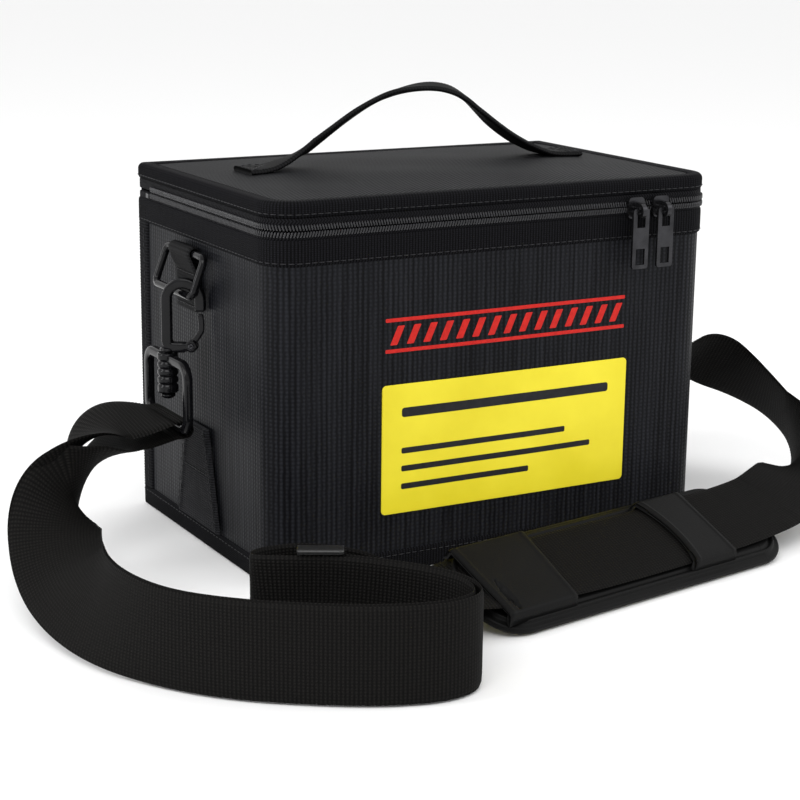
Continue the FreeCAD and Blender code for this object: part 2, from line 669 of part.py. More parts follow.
# ---- zip sliders ---------------------------------------------------------------------------
def slider(x):
    """A slider's front plate, the post between the coils, and the bail that holds its pull."""
    front = -HALF_D - 0.6 - COIL_PROUD - CLEAR
    plate = box((x - 4.2, front - 1.6, ZIP_Z - 5), (x + 4.2, front, ZIP_Z + 4.4))
    uprights = [edge for edge in plate.Edges if abs(edge.tangentAt(edge.FirstParameter).y) > 0.9]
    plate = plate.makeFillet(1.8, uprights)
    post = box((x - 1.6, front - 0.5, ZIP_Z - 0.35), (x + 1.6, -HALF_D - 0.2, ZIP_Z + 0.35))
    outer = Part.makeCylinder(3.4, 2.2, V(x - 1.1, PULL_AXIS_Y, PULL_AXIS_Z), V(1, 0, 0))
    arm = box((x - 1.1, PULL_AXIS_Y, PULL_AXIS_Z - 3.4), (x + 1.1, front - 1, PULL_AXIS_Z + 3.4))
    bore = Part.makeCylinder(1.6, 4, V(x - 2, PULL_AXIS_Y, PULL_AXIS_Z), V(1, 0, 0))
    slot = box((x - 2, PULL_AXIS_Y, PULL_AXIS_Z - 1.6), (x + 2, front - 1.8, PULL_AXIS_Z + 1.6))
    bail = outer.fuse(arm).cut(bore).cut(slot)
    return plate.fuse([post, bail]).removeSplitter()


def pull(x):
    """A flat pull with a window for the bail at its top and a grip window at its bottom."""
    top = PULL_AXIS_Z + 1.0
    plate = box((x - PULL_W / 2, PULL_AXIS_Y - PULL_T / 2, top - PULL_L),
                (x + PULL_W / 2, PULL_AXIS_Y + PULL_T / 2, top))
    uprights = [edge for edge in plate.Edges if abs(edge.tangentAt(edge.FirstParameter).y) > 0.9]
    plate = plate.makeFillet(1.2, uprights)
    window = box((x - 2.2, -90, top - 8.5), (x + 2.2, -70, PULL_AXIS_Z - 0.8))
    grip = box((x - 2.4, -90, top - PULL_L + 1.8), (x + 2.4, -70, top - PULL_L + 9))
    bar = Part.makeCylinder(0.8, PULL_W - 2, V(x - PULL_W / 2 + 1, PULL_AXIS_Y, PULL_AXIS_Z), V(1, 0, 0))
    plate = plate.cut(window).cut(grip)
    trim = box((x - 2.2, -90, PULL_AXIS_Z + 0.6), (x + 2.2, -70, top + 1))
    return plate.cut(trim).fuse(bar).removeSplitter()


# ---- build ---------------------------------------------------------------------------------
body_panels()
foam_boards()
inner_liner()
body_tapes()
zip_half(TAPE_Z, LOWER_ZIP_TOP, LOWER_ZIP_TOP - COIL_H, ("lower_zip_tape", "lower_zip_coil"))
zip_half(UPPER_ZIP_BOTTOM, LID_RIM_Z, UPPER_ZIP_BOTTOM, ("upper_zip_tape", "upper_zip_coil"))
zip_end_stops()
front_prints()
port_flap()

side_pieces = {
    "d_ring": side_ring(),
    "ring_tab": ring_tab(),
    "hook_frame": hook_body(),
    "hook_gate": hook_gate(),
    "gate_pin": gate_pin(PIN_R),
    "swivel_eye": swivel_eye(),
}
for piece, shape in side_pieces.items():
    write(shape, "left_" + piece)
    write(mirrored(shape), "right_" + piece)

shoulder_strap()
write(adjuster(), "strap_adjuster")
shoulder_pad()

lid()
write(handle_anchor(-1), "left_handle_anchor")
write(handle_anchor(1), "right_handle_anchor")
write(carry_handle(), "carry_handle")

for side, x in SLIDER_XS.items():
    write(slider(x), side + "_slider")
    write(pull(x), side + "_pull")
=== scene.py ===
import json
import math

import bpy
import numpy as np
from mathutils import Matrix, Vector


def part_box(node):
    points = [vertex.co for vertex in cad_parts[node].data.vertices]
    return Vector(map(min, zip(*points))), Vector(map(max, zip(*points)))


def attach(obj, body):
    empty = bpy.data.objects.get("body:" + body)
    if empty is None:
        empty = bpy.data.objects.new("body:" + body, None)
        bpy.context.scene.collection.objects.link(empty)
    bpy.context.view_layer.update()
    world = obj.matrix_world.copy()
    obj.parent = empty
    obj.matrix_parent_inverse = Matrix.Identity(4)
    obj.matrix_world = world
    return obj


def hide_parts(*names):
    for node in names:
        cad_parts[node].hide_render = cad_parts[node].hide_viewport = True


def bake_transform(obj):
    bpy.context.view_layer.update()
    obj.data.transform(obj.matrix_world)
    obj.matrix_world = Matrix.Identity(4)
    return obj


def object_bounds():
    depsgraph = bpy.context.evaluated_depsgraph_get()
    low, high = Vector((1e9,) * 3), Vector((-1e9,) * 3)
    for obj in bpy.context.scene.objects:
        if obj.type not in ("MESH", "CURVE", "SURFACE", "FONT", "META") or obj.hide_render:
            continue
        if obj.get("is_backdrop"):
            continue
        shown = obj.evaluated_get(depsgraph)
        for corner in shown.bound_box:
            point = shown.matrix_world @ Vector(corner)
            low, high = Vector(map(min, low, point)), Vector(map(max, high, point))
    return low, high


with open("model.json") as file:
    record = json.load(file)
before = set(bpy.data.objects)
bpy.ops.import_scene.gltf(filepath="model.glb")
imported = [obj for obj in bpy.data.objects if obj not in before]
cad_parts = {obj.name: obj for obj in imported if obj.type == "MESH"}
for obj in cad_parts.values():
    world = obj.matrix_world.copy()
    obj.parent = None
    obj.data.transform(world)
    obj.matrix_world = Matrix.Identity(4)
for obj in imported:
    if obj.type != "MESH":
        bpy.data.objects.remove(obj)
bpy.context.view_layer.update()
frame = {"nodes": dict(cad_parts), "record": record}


# ---- Wall cloth ------------------------------------------------------------------------------
# The bag's front and sides are one wrap of coated glass-fibre cloth, and the back and the base
# are two more panels of it. They are sewn inside out over foam boards and then turned.
base_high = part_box("base_panel")[1]
wall_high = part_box("wall_wrap")[1]
HALF_W = base_high.x
HALF_D = base_high.y
FRONT_R = 0.014
BACK_R = 0.0025
TIGHT_R = 0.0006
WALL_TOP = wall_high.z
CLOTH = 0.0012

RUNS = np.array([
    HALF_W - FRONT_R,
    FRONT_R * math.pi / 2,
    2 * HALF_D - FRONT_R - BACK_R,
    BACK_R * math.pi / 2,
    HALF_W - BACK_R,
])
KNOTS = np.concatenate([[0.0], np.cumsum(RUNS)])
HALF_GIRTH = KNOTS[-1]
GIRTH = 2 * HALF_GIRTH


def around(s, inset):
    """Plan points, outward normals and panel crown at distance s along the bag's outline.

    s starts at the middle of the front and goes to the right. Each half is a straight run, a round
    front corner, a straight side, a sharp back corner and half the back, and the left half mirrors
    the right one. The crown is 0 at a corner and 1 in the middle of a panel.
    """
    s, inset = np.broadcast_arrays(np.mod(s, GIRTH), inset)
    side = np.where(s <= HALF_GIRTH, 1.0, -1.0)
    t = np.where(s <= HALF_GIRTH, s, GIRTH - s)
    piece = np.clip(np.searchsorted(KNOTS, t, side="right") - 1, 0, 4)
    share = (t - KNOTS[piece]) / RUNS[piece]
    x = HALF_W - inset
    y = HALF_D - inset
    front = np.maximum(FRONT_R - inset, TIGHT_R)
    back = np.maximum(BACK_R - inset, TIGHT_R)
    quarter = math.pi / 2
    zero = np.zeros_like(share)
    angle = np.choose(piece, [zero - quarter, (share - 1) * quarter, zero, share * quarter, zero + quarter])
    px = np.choose(piece, [
        share * (x - front), x - front + front * np.cos(angle), x + zero,
        x - back + back * np.cos(angle), (1 - share) * (x - back),
    ])
    py = np.choose(piece, [
        -y + zero, -y + front + front * np.sin(angle), -y + front + share * (2 * y - front - back),
        y - back + back * np.sin(angle), y + zero,
    ])
    crown = np.choose(piece, [
        np.cos(share * quarter), zero, np.sin(share * math.pi), zero, np.sin(share * quarter),
    ])
    place = np.stack([side * px, py], -1)
    normal = np.stack([side * np.cos(angle), np.sin(angle)], -1)
    return place, normal, crown


def stations(step, start=0.0, end=None):
    """Distances along the outline from start to end: one each step, and ten or more to a corner."""
    end = GIRTH if end is None else end
    runs = np.concatenate([KNOTS, GIRTH - KNOTS[-2::-1]])
    runs = np.concatenate([runs - GIRTH, runs[1:], runs[1:] + GIRTH])
    cuts = []
    for low, high in zip(runs, runs[1:]):
        count = max(math.ceil((high - low) / step), 10 if high - low < 0.04 else 1)
        cuts.append(np.linspace(low, high, count, endpoint=False))
    cuts = np.concatenate(cuts)
    inside = cuts[(cuts > start + step / 20) & (cuts < end - step / 20)]
    return np.concatenate([[start], inside, [end]])


def on_wall(s, z, out):
    """Points at distance s and height z, out from the cloth, which swells a little in each panel."""
    s, z, out = np.broadcast_arrays(s, z, out)
    place, normal, crown = around(s, 0.0)
    rise = np.sin(np.clip(z / WALL_TOP, 0, 1) * math.pi)
    waves = 0.65 + 0.2 * np.sin(s * 61 + z * 23) + 0.15 * np.sin(s * 113 - z * 41 + 1.3)
    swell = 0.0008 * crown * rise * waves
    flat = place + normal * (swell + out)[..., None]
    return np.concatenate([flat, z[..., None]], -1)


def grid_part(points, uv=None, closed=(False, False), caps=False, keep=None, solid=False):
    """Corner arrays for an n by m grid of points, four corners to a face.

    A closed direction joins its last row to its first, and its uv has one row more. caps closes the
    two ends of a tube with rungs between opposite points. A closed or solid shape is turned to face
    outwards.
    """
    n, m = points.shape[:2]
    i, j = np.meshgrid(np.arange(n - (not closed[0])), np.arange(m - (not closed[1])), indexing="ij")
    ci = np.stack([i, i + 1, i + 1, i], -1).reshape(-1, 4)
    cj = np.stack([j, j, j + 1, j + 1], -1).reshape(-1, 4)
    if keep is not None:
        wanted = keep.reshape(-1)
        ci, cj = ci[wanted], cj[wanted]
    if uv is None:
        uv = np.zeros((n + 1, m + 1, 2))
    faces = (ci % n) * m + cj % m
    corners = uv[ci, cj]
    if caps:
        rung = np.arange(m // 2 - 1)
        lid = np.stack([rung, m - 1 - rung, m - 2 - rung, rung + 1], -1)
        faces = np.vstack([faces, lid, lid[:, ::-1] + (n - 1) * m])
        corners = np.concatenate([corners, uv[0][lid], uv[n - 1][lid[:, ::-1]]])
    points = points.reshape(-1, 3)
    if caps or solid or all(closed):
        a, b, c, d = (points[faces[:, k]] for k in range(4))
        volume = np.sum(np.cross(a, b) * c) + np.sum(np.cross(a, c) * d)
        if volume < 0:
            faces, corners = faces[:, ::-1], corners[:, ::-1]
    return points, faces, corners


def put(name, parts, finish, smooth=True):
    """One mesh object at the origin from one or more grid parts, with its finish."""
    counts = np.cumsum([0] + [len(p[0]) for p in parts])
    points = np.concatenate([p[0] for p in parts])
    faces = np.concatenate([p[1] + start for p, start in zip(parts, counts)])
    corners = np.concatenate([p[2] for p in parts])
    mesh = bpy.data.meshes.new(name)
    mesh.vertices.add(len(points))
    mesh.vertices.foreach_set("co", points.astype(np.float32).ravel())
    mesh.loops.add(faces.size)
    mesh.loops.foreach_set("vertex_index", faces.astype(np.int32).ravel())
    mesh.polygons.add(len(faces))
    mesh.polygons.foreach_set("loop_start", np.arange(0, faces.size, 4, dtype=np.int32))
    mesh.update(calc_edges=True)
    layer = mesh.uv_layers.new(name="cloth")
    layer.data.foreach_set("uv", corners.astype(np.float32).ravel())
    mesh.validate()
    mesh.polygons.foreach_set("use_smooth", np.full(len(mesh.polygons), smooth))
    mesh.materials.append(finish)
    piece = bpy.data.objects.new(name, mesh)
    bpy.context.scene.collection.objects.link(piece)
    return piece


def thicken(piece, thickness):
    """Give an open sheet its thickness behind its face."""
    wall = piece.modifiers.new("thickness", "SOLIDIFY")
    wall.thickness = thickness
    wall.offset = -1
    return piece


def new_finish(name, roughness, metallic=0.0, specular=0.5):
    """A material and its shader, with the values that are the same all over the surface."""
    finish = bpy.data.materials.new(name)
    finish.use_nodes = True
    shader = finish.node_tree.nodes["Principled BSDF"]
    shader.inputs["Roughness"].default_value = roughness
    shader.inputs["Metallic"].default_value = metallic
    shader.inputs["Specular IOR Level"].default_value = specular
    return finish, shader


def add(shader, kind, feeds, **settings):
    """One more node beside a shader: feeds gives each input a value or another node's output."""
    tree = shader.id_data
    node = tree.nodes.new(kind)
    for key, value in settings.items():
        setattr(node, key, value)
    for key, value in feeds.items():
        if isinstance(value, bpy.types.NodeSocket):
            tree.links.new(value, node.inputs[key])
        else:
            node.inputs[key].default_value = value
    return node


def cloth_coordinate(shader, scale, turn=0.0, kind="UV"):
    """The piece's own coordinates in metres, scaled and turned."""
    source = add(shader, "ShaderNodeTexCoord", {}).outputs[kind]
    mapping = add(shader, "ShaderNodeMapping", {"Vector": source, "Scale": scale, "Rotation": (0, 0, turn)})
    return mapping.outputs["Vector"]


BAND = 0.1 * math.pi


def ribs(shader, vector, pitch, direction, wobble=0.0):
    """Straight ribs of one pitch: a sine wave across one axis of the coordinates."""
    feeds = {"Vector": vector, "Scale": BAND / pitch, "Distortion": wobble, "Detail": 1.0,
             "Detail Scale": 2.0}
    return add(shader, "ShaderNodeTexWave", feeds, bands_direction=direction).outputs["Fac"]


def speckle(shader, vector, scale, detail=3.0):
    feeds = {"Vector": vector, "Scale": scale, "Detail": detail}
    return add(shader, "ShaderNodeTexNoise", feeds).outputs["Fac"]


def blend_of(shader, operation, a, b):
    return add(shader, "ShaderNodeMath", {0: a, 1: b}, operation=operation).outputs[0]


def weighted(shader, *layers):
    """The sum of several textures, each given as (texture, share)."""
    scaled = [blend_of(shader, "MULTIPLY", texture, share) for texture, share in layers]
    total = scaled[0]
    for layer in scaled[1:]:
        total = blend_of(shader, "ADD", total, layer)
    return total


def tint(shader, amount, dark, light, low=0.25, high=0.75):
    """Colour the surface from dark to light as amount goes from low to high."""
    ramp = add(shader, "ShaderNodeValToRGB", {"Fac": amount})
    first, last = ramp.color_ramp.elements
    first.position, first.color = low, (*dark, 1)
    last.position, last.color = high, (*light, 1)
    shader.id_data.links.new(ramp.outputs["Color"], shader.inputs["Base Color"])


def relief(shader, height, depth):
    """Raise the surface by height times depth in metres."""
    bump = add(shader, "ShaderNodeBump", {"Height": height, "Distance": depth, "Strength": 1.0})
    shader.id_data.links.new(bump.outputs["Normal"], shader.inputs["Normal"])


def vary_gloss(shader, amount, low, high):
    span = add(shader, "ShaderNodeMapRange", {"Value": amount, "To Min": low, "To Max": high})
    shader.id_data.links.new(span.outputs["Result"], shader.inputs["Roughness"])


def coated_cloth():
    """Charcoal glass-fibre cloth: uneven upright yarns, fine cross threads and a dull coating."""
    finish, shader = new_finish("coated_glass_cloth", 0.5, specular=0.08)
    plain = cloth_coordinate(shader, (1, 1, 1))
    yarns = speckle(shader, cloth_coordinate(shader, (560, 14, 1)), 1.0, 4.0)
    broad = speckle(shader, cloth_coordinate(shader, (90, 5, 1)), 1.0, 2.0)
    streaks = ribs(shader, plain, 0.0024, "X", 1.2)
    ticks = ribs(shader, plain, 0.0018, "Y", 0.4)
    dotted = blend_of(shader, "MULTIPLY", streaks, ticks)
    mixed = weighted(shader, (yarns, 0.5), (broad, 0.2), (streaks, 0.16), (dotted, 0.14))
    tint(shader, mixed, (0.0018, 0.0019, 0.0026), (0.0155, 0.0163, 0.0200), 0.34, 0.72)
    vary_gloss(shader, mixed, 0.52, 0.38)
    relief(shader, blend_of(shader, "ADD", yarns, blend_of(shader, "MULTIPLY", dotted, 0.5)), 0.00025)
    return finish


wall_finish = coated_cloth()

port_low, port_high = (-0.008, 0.038), (0.014, 0.046)
SIDE_START = KNOTS[4] - 0.0002
wall_s = stations(0.004, GIRTH - SIDE_START, GIRTH + SIDE_START)
port_s = sorted([GIRTH - KNOTS[2] - (y + HALF_D - FRONT_R) for y in (port_low[0], port_high[0])])
wall_s = np.unique(np.concatenate([wall_s, port_s]))
wall_z = np.unique(np.concatenate([np.linspace(CLOTH, WALL_TOP, 38), [port_low[1], port_high[1]]]))
grid_s, grid_z = np.meshgrid(wall_s, wall_z, indexing="ij")
mid_s = (wall_s[1:] + wall_s[:-1]) / 2
mid_z = (wall_z[1:] + wall_z[:-1]) / 2
in_port_s = (mid_s > port_s[0]) & (mid_s < port_s[1])
in_port_z = (mid_z > port_low[1]) & (mid_z < port_high[1])
in_port = in_port_s[:, None] & in_port_z
wall_part = grid_part(on_wall(grid_s, grid_z, 0.0), np.stack([grid_s, grid_z], -1), keep=~in_port)
wall = thicken(put("wall_cloth", [wall_part], wall_finish), CLOTH)
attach(wall, "bag")
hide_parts("wall_wrap")

back_s = stations(0.004, SIDE_START, GIRTH - SIDE_START)
back_z = np.linspace(CLOTH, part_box("back_panel")[1].z, 36)
grid_s, grid_z = np.meshgrid(back_s, back_z, indexing="ij")
back_part = grid_part(on_wall(grid_s, grid_z, 0.0), np.stack([grid_s, grid_z], -1))
back = thicken(put("back_cloth", [back_part], wall_finish), CLOTH)
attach(back, "bag")
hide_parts("back_panel")


def plan_sheet(inset, rows, cols, height):
    """A flat sheet with the bag's outline: each row is as wide as the outline is at its depth.

    height gives z from x and y, as arrays. The grid has rows from front to back and cols across.
    """
    y_half = HALF_D - inset
    front = max(FRONT_R - inset, TIGHT_R)
    back = max(BACK_R - inset, TIGHT_R)
    bend = np.linspace(0, math.pi / 2, 9)
    low = -y_half + front * (1 - np.cos(bend))
    high = y_half - back * (1 - np.cos(bend[::-1]))
    straight = np.linspace(-y_half + front, y_half - back, rows)
    y = np.unique(np.round(np.concatenate([low, straight, high]), 7))
    cut = np.zeros(len(y))
    for radius, past in ((front, -y_half + front - y), (back, y - y_half + back)):
        chord = np.sqrt(np.clip(radius**2 - past**2, 0, None))
        cut = np.where(past > 0, radius - chord, cut)
    u = np.linspace(-1, 1, cols)
    x = u[:, None] * (HALF_W - inset - cut)[None, :]
    y = np.broadcast_to(y, x.shape)
    return np.stack([x, y, height(x, y)], -1)


def base_height(x, y):
    """The base lies flat, and its middle is held 0.3 mm off the floor by the binding round it."""
    return 0.0003 * np.cos(x / HALF_W * 1.5) * np.cos(y / HALF_D * 1.5)


sheet_points = plan_sheet(0.0003, 24, 40, base_height)[::-1]
base = put("base_cloth", [grid_part(sheet_points, sheet_points[..., :2])], wall_finish)
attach(thicken(base, CLOTH), "bag")
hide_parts("base_panel")


# ---- Foam boards and lining ------------------------------------------------------------------
# Five flat boards of closed-cell foam stiffen the walls, the base and the lid. A thin silver-grey
# lining of the same glass cloth is quilted over them inside.
def foam_finish():
    finish, shader = new_finish("closed_cell_foam", 0.9, specular=0.2)
    plain = cloth_coordinate(shader, (1, 1, 1), kind="Object")
    cells = add(shader, "ShaderNodeTexVoronoi", {"Vector": plain, "Scale": 900.0})
    tint(shader, cells.outputs["Distance"], (0.02, 0.02, 0.022), (0.045, 0.045, 0.048), 0.1, 0.7)
    relief(shader, cells.outputs["Distance"], 0.0004)
    return finish


def lining_finish():
    finish, shader = new_finish("quilted_lining", 0.42, specular=0.4)
    plain = cloth_coordinate(shader, (1, 1, 1))
    fine = blend_of(shader, "MULTIPLY", ribs(shader, plain, 0.0009, "X"), ribs(shader, plain, 0.0009, "Y"))
    patches = speckle(shader, cloth_coordinate(shader, (60, 60, 1)), 1.0)
    tint(shader, blend_of(shader, "ADD", patches, blend_of(shader, "MULTIPLY", fine, 0.3)),
         (0.10, 0.102, 0.106), (0.22, 0.224, 0.23), 0.3, 0.9)
    relief(shader, fine, 0.00015)
    return finish


def use_finish(nodes, finish):
    """Give carried-over frame nodes a better finish."""
    for node in nodes:
        mesh = frame["nodes"][node].data
        mesh.materials.clear()
        mesh.materials.append(finish)


def quilt(a, b, pitch):
    """Pillow height between two crossing sets of seams, 0 on a seam and 1 between them."""
    return np.sqrt(np.abs(np.sin(a / pitch * math.pi) * np.sin(b / pitch * math.pi)))


use_finish(["foam_base", "foam_front", "foam_back", "foam_left", "foam_right", "lid_foam"], foam_finish())
lining = lining_finish()
QUILT = 0.03
tub_low, tub_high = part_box("inner_liner")
LINING = 0.0008
tub_inset = HALF_W - tub_high.x + LINING
tub_s = stations(0.003)[:-1]
rise = np.linspace(tub_high.z, tub_low.z + LINING, 46)
grid_s, grid_z = np.meshgrid(tub_s, rise, indexing="ij")
pillow = 0.0011 * quilt(grid_s, grid_z, QUILT) * np.clip((grid_z - rise[-1]) / 0.01, 0, 1)
place, normal, _ = around(grid_s, tub_inset + pillow)
tub_points = np.concatenate([place, grid_z[..., None]], -1)
tub_uv = np.stack(np.meshgrid(np.append(tub_s, GIRTH), rise, indexing="ij"), -1)
tub_walls = grid_part(tub_points, tub_uv, closed=(True, False))


def floor_height(x, y):
    """The lining's floor: pillows of 1 mm between seams 30 mm apart, flat at its edge."""
    edge = np.clip(1 - np.maximum(np.abs(x) / HALF_W, np.abs(y) / HALF_D) ** 12, 0, 1)
    return tub_low.z + LINING + 0.001 * quilt(x, y, QUILT) * edge


floor_points = plan_sheet(tub_inset + 0.0002, 60, 90, floor_height)
tub_floor = grid_part(floor_points, floor_points[..., :2])
tub = put("tub_lining", [tub_walls, tub_floor], lining)
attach(thicken(tub, LINING * 0.8), "bag")
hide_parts("inner_liner")

lid_lining_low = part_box("lid_liner")[0]


def lid_lining_height(x, y):
    """The lid's lining hangs 1 mm lower between its seams."""
    edge = np.clip(1 - np.maximum(np.abs(x) / HALF_W, np.abs(y) / HALF_D) ** 12, 0, 1)
    return lid_lining_low.z + 0.0004 - 0.001 * quilt(x, y, QUILT) * edge


lid_points = plan_sheet(CLOTH + 0.0002, 60, 90, lid_lining_height)[::-1]
lid_lining = put("lid_lining", [grid_part(lid_points, lid_points[..., :2])], lining)
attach(thicken(lid_lining, 0.0004), "lid")
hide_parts("lid_liner")


# ---- Woven tapes: bindings and top band ----------------------------------------------------------
# Ribbed polyester tape covers every seam: round the base, up the two back corners, round the lid's
# edge, and as a wide band under the zip. Each tape is folded over its edge and sewn with one row.
TAPE_PITCH = 0.0014


def tape_finish():
    finish, shader = new_finish("ribbed_tape", 0.72, specular=0.06)
    plain = cloth_coordinate(shader, (1, 1, 1))
    across = ribs(shader, plain, TAPE_PITCH, "X")
    along = ribs(shader, plain, 0.0009, "Y", 0.3)
    lint = speckle(shader, cloth_coordinate(shader, (900, 900, 1)), 1.0)
    crossing = blend_of(shader, "ADD", blend_of(shader, "MULTIPLY", along, 0.5), 0.5)
    height = blend_of(shader, "MULTIPLY", across, crossing)
    tint(shader, blend_of(shader, "ADD", height, blend_of(shader, "MULTIPLY", lint, 0.3)),
         (0.0003, 0.0003, 0.0004), (0.0096, 0.0096, 0.0118), 0.15, 1.1)
    relief(shader, height, 0.0004)
    return finish


def tape_loop(rise_from, rise_to, out_from, out_to, count=9):
    """A tape's cross-section: a flat inner face and an outer face rounded off at its two edges."""
    t = np.linspace(-1, 1, count)
    t = np.sign(t) * (1 - (1 - np.abs(t)) ** 1.4)
    bulge = (1 - t**8) ** 0.4
    z = (rise_from + rise_to) / 2 + t * (rise_to - rise_from) / 2
    outer = np.stack([out_from + (out_to - out_from) * bulge, z, bulge], -1)
    inner = np.stack([np.full(count, out_from), z, np.zeros(count)], -1)[::-1]
    return np.concatenate([outer, inner])


def wall_tape(name, s, loop, closed=False, rib=0.00016):
    """Sweep a cross-section along the outline at distances s, and raise cross ribs on its face."""
    ribbing = rib * np.cos(s / TAPE_PITCH * 2 * math.pi)[:, None] * loop[:, 2]
    out = loop[:, 0] + ribbing
    place, _, _ = around(s[:, None], -out)
    z = np.broadcast_to(loop[:, 1], out.shape)
    points = np.concatenate([place, z[..., None]], -1)
    v = np.append(loop[:, 1], loop[0, 1])
    uv = np.stack(np.meshgrid(np.append(s, GIRTH) if closed else np.append(s, s[-1]), v, indexing="ij"), -1)
    return put(name, [grid_part(points, uv, closed=(closed, True), caps=not closed)], tape)


tape = tape_finish()
FINE = TAPE_PITCH / 4
low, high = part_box("bottom_binding")
TAPE_OUT = high.x - HALF_W
BINDING_TOP = high.z
bottom_loop = tape_loop(low.z, high.z, -0.0002, TAPE_OUT)
bottom = wall_tape("bottom_tape", stations(FINE)[:-1], bottom_loop, closed=True)
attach(bottom, "bag")
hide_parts("bottom_binding")

low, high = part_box("top_band")
BAND_Z, BAND_TOP = low.z, high.z
BACK_S = KNOTS[4]
band = wall_tape("top_band_tape", stations(FINE, GIRTH - BACK_S, GIRTH + BACK_S),
                 tape_loop(BAND_Z, BAND_TOP + 0.0006, -0.0002, high.x - HALF_W), rib=0.0001)
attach(band, "bag")
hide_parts("top_band")


def corner_tape(name, middle_s, z0, z1):
    """An upright tape folded round a back corner; its ribs lie level, one above the other."""
    z = np.arange(z0, z1, FINE)
    half = 0.011
    t = np.linspace(-1, 1, 25)
    bulge = (1 - t**10) ** 0.4
    s = middle_s + t * half
    ribbing = 0.00012 * np.cos(z / TAPE_PITCH * 2 * math.pi)[:, None] * bulge
    outer = 0.0002 + 0.0008 * bulge + ribbing
    place, _, _ = around(np.broadcast_to(s, outer.shape), -outer)
    inner_place, _, _ = around(np.broadcast_to(s[::-1], outer.shape), 0.0002)
    ring = np.concatenate([place, inner_place], 1)
    points = np.concatenate([ring, np.broadcast_to(z[:, None, None], ring.shape[:2] + (1,))], -1)
    across = np.concatenate([s, s[::-1], s[:1]])
    uv = np.stack(np.meshgrid(np.append(z, z1), across, indexing="ij"), -1)
    return put(name, [grid_part(points, uv, closed=(False, True), caps=True)], tape)


for side, middle in (("left", GIRTH - (KNOTS[3] + KNOTS[4]) / 2), ("right", (KNOTS[3] + KNOTS[4]) / 2)):
    corner = corner_tape(side + "_corner_tape", middle, BINDING_TOP - 0.0005, BAND_Z + 0.008)
    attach(corner, "bag")
    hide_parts("back_" + side + "_binding")


def stitch(length, radius):
    """One sewn stitch: a short thread that dips into the cloth at both ends, 28 faces."""
    t = np.linspace(-1, 1, 5)
    turn = (np.arange(6) + 0.5) * math.pi / 3
    thick = radius * np.array([0.5, 0.9, 1.0, 0.9, 0.5])
    x = np.broadcast_to(t[:, None] * length / 2, (5, 6))
    y = thick[:, None] * np.cos(turn)
    z = thick[:, None] * np.sin(turn) - radius * 1.2 * t[:, None] ** 2 + radius * 0.5
    return grid_part(np.stack([x, y, z], -1), closed=(False, True), caps=True)


def repeated(one, centres, along, out):
    """Copies of one small part, each placed at a centre with its x along and its z out."""
    along = along / np.linalg.norm(along, axis=1, keepdims=True)
    side = np.cross(out, along)
    side = side / np.linalg.norm(side, axis=1, keepdims=True)
    up = np.cross(along, side)
    points, faces, corners = one
    placed = (centres[:, None] + points[None, :, 0:1] * along[:, None]
              + points[None, :, 1:2] * side[:, None] + points[None, :, 2:3] * up[:, None])
    shift = np.arange(len(centres))[:, None, None] * len(points)
    return placed.reshape(-1, 3), (faces[None] + shift).reshape(-1, 4), np.tile(corners, (len(centres), 1, 1))


STITCH = stitch(0.0026, 0.00022)
STITCH_PITCH = 0.0033


def wall_stitches(s0, s1, z, out):
    """A row of stitches along the outline at one height."""
    s = np.arange(s0, s1, STITCH_PITCH)
    place, normal, _ = around(s, -out)
    flat = np.zeros(len(s))
    centres = np.column_stack([place, flat + z])
    return repeated(STITCH, centres, np.column_stack([-normal[:, 1], normal[:, 0], flat]),
                    np.column_stack([normal, flat]))


def straight_stitches(start, end, out):
    """A row of stitches from start to end, lying on a face that looks out."""
    start, end = np.array(start), np.array(end)
    length = np.linalg.norm(end - start)
    count = max(int(length / STITCH_PITCH), 1)
    share = (np.arange(count) + 0.5) / count
    centres = start + (end - start) * share[:, None]
    ones = np.ones((count, 1))
    return repeated(STITCH, centres, ones * (end - start), ones * np.array(out, float))


def thread_finish():
    finish, shader = new_finish("black_thread", 0.5, specular=0.25)
    twist = ribs(shader, cloth_coordinate(shader, (1, 1, 1), 0.8, "Object"), 0.0005, "X")
    tint(shader, twist, (0.006, 0.006, 0.007), (0.028, 0.028, 0.031), 0.0, 1.0)
    return finish


thread = thread_finish()
corner_rows = []
for x in (-1, 1):
    for y_side, wall_y in ((x * (HALF_W + 0.0011), HALF_D - 0.0075), (None, HALF_D + 0.0011)):
        px = y_side if y_side is not None else x * (HALF_W - 0.0075)
        out = (x, 0, 0) if y_side is not None else (0, 1, 0)
        corner_rows.append(straight_stitches((px, wall_y, 0.012), (px, wall_y, BAND_Z - 0.002), out))
seams = put("bag_stitching", [
    wall_stitches(0, GIRTH, BINDING_TOP - 0.0022, TAPE_OUT),
    wall_stitches(GIRTH - BACK_S + 0.004, GIRTH + BACK_S - 0.004, BAND_Z + 0.0018, 0.00105),
    *corner_rows,
], thread)
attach(seams, "bag")


# ---- Fabric hinge -----------------------------------------------------------------------------------
# A wide strip of the same tape runs along the back, sewn to the body below and to the lid above.
# It is the lid's hinge. A small cloth gusset closes each end of it.
hinge_low, hinge_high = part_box("hinge_strip")
RIM_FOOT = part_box("lid_rim")[0].z + 0.0012
hinge_s = stations(FINE * 2, KNOTS[4] + 0.0005, GIRTH - KNOTS[4] - 0.0005)
HINGE_OUT = hinge_high.y - HALF_D
hinge_loop = tape_loop(hinge_low.z, hinge_high.z + 0.0052, 0.0002, HINGE_OUT, 21)
hinge = wall_tape("hinge_tape", hinge_s, hinge_loop, rib=0.00008)
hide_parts("hinge_strip")
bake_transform(hinge)

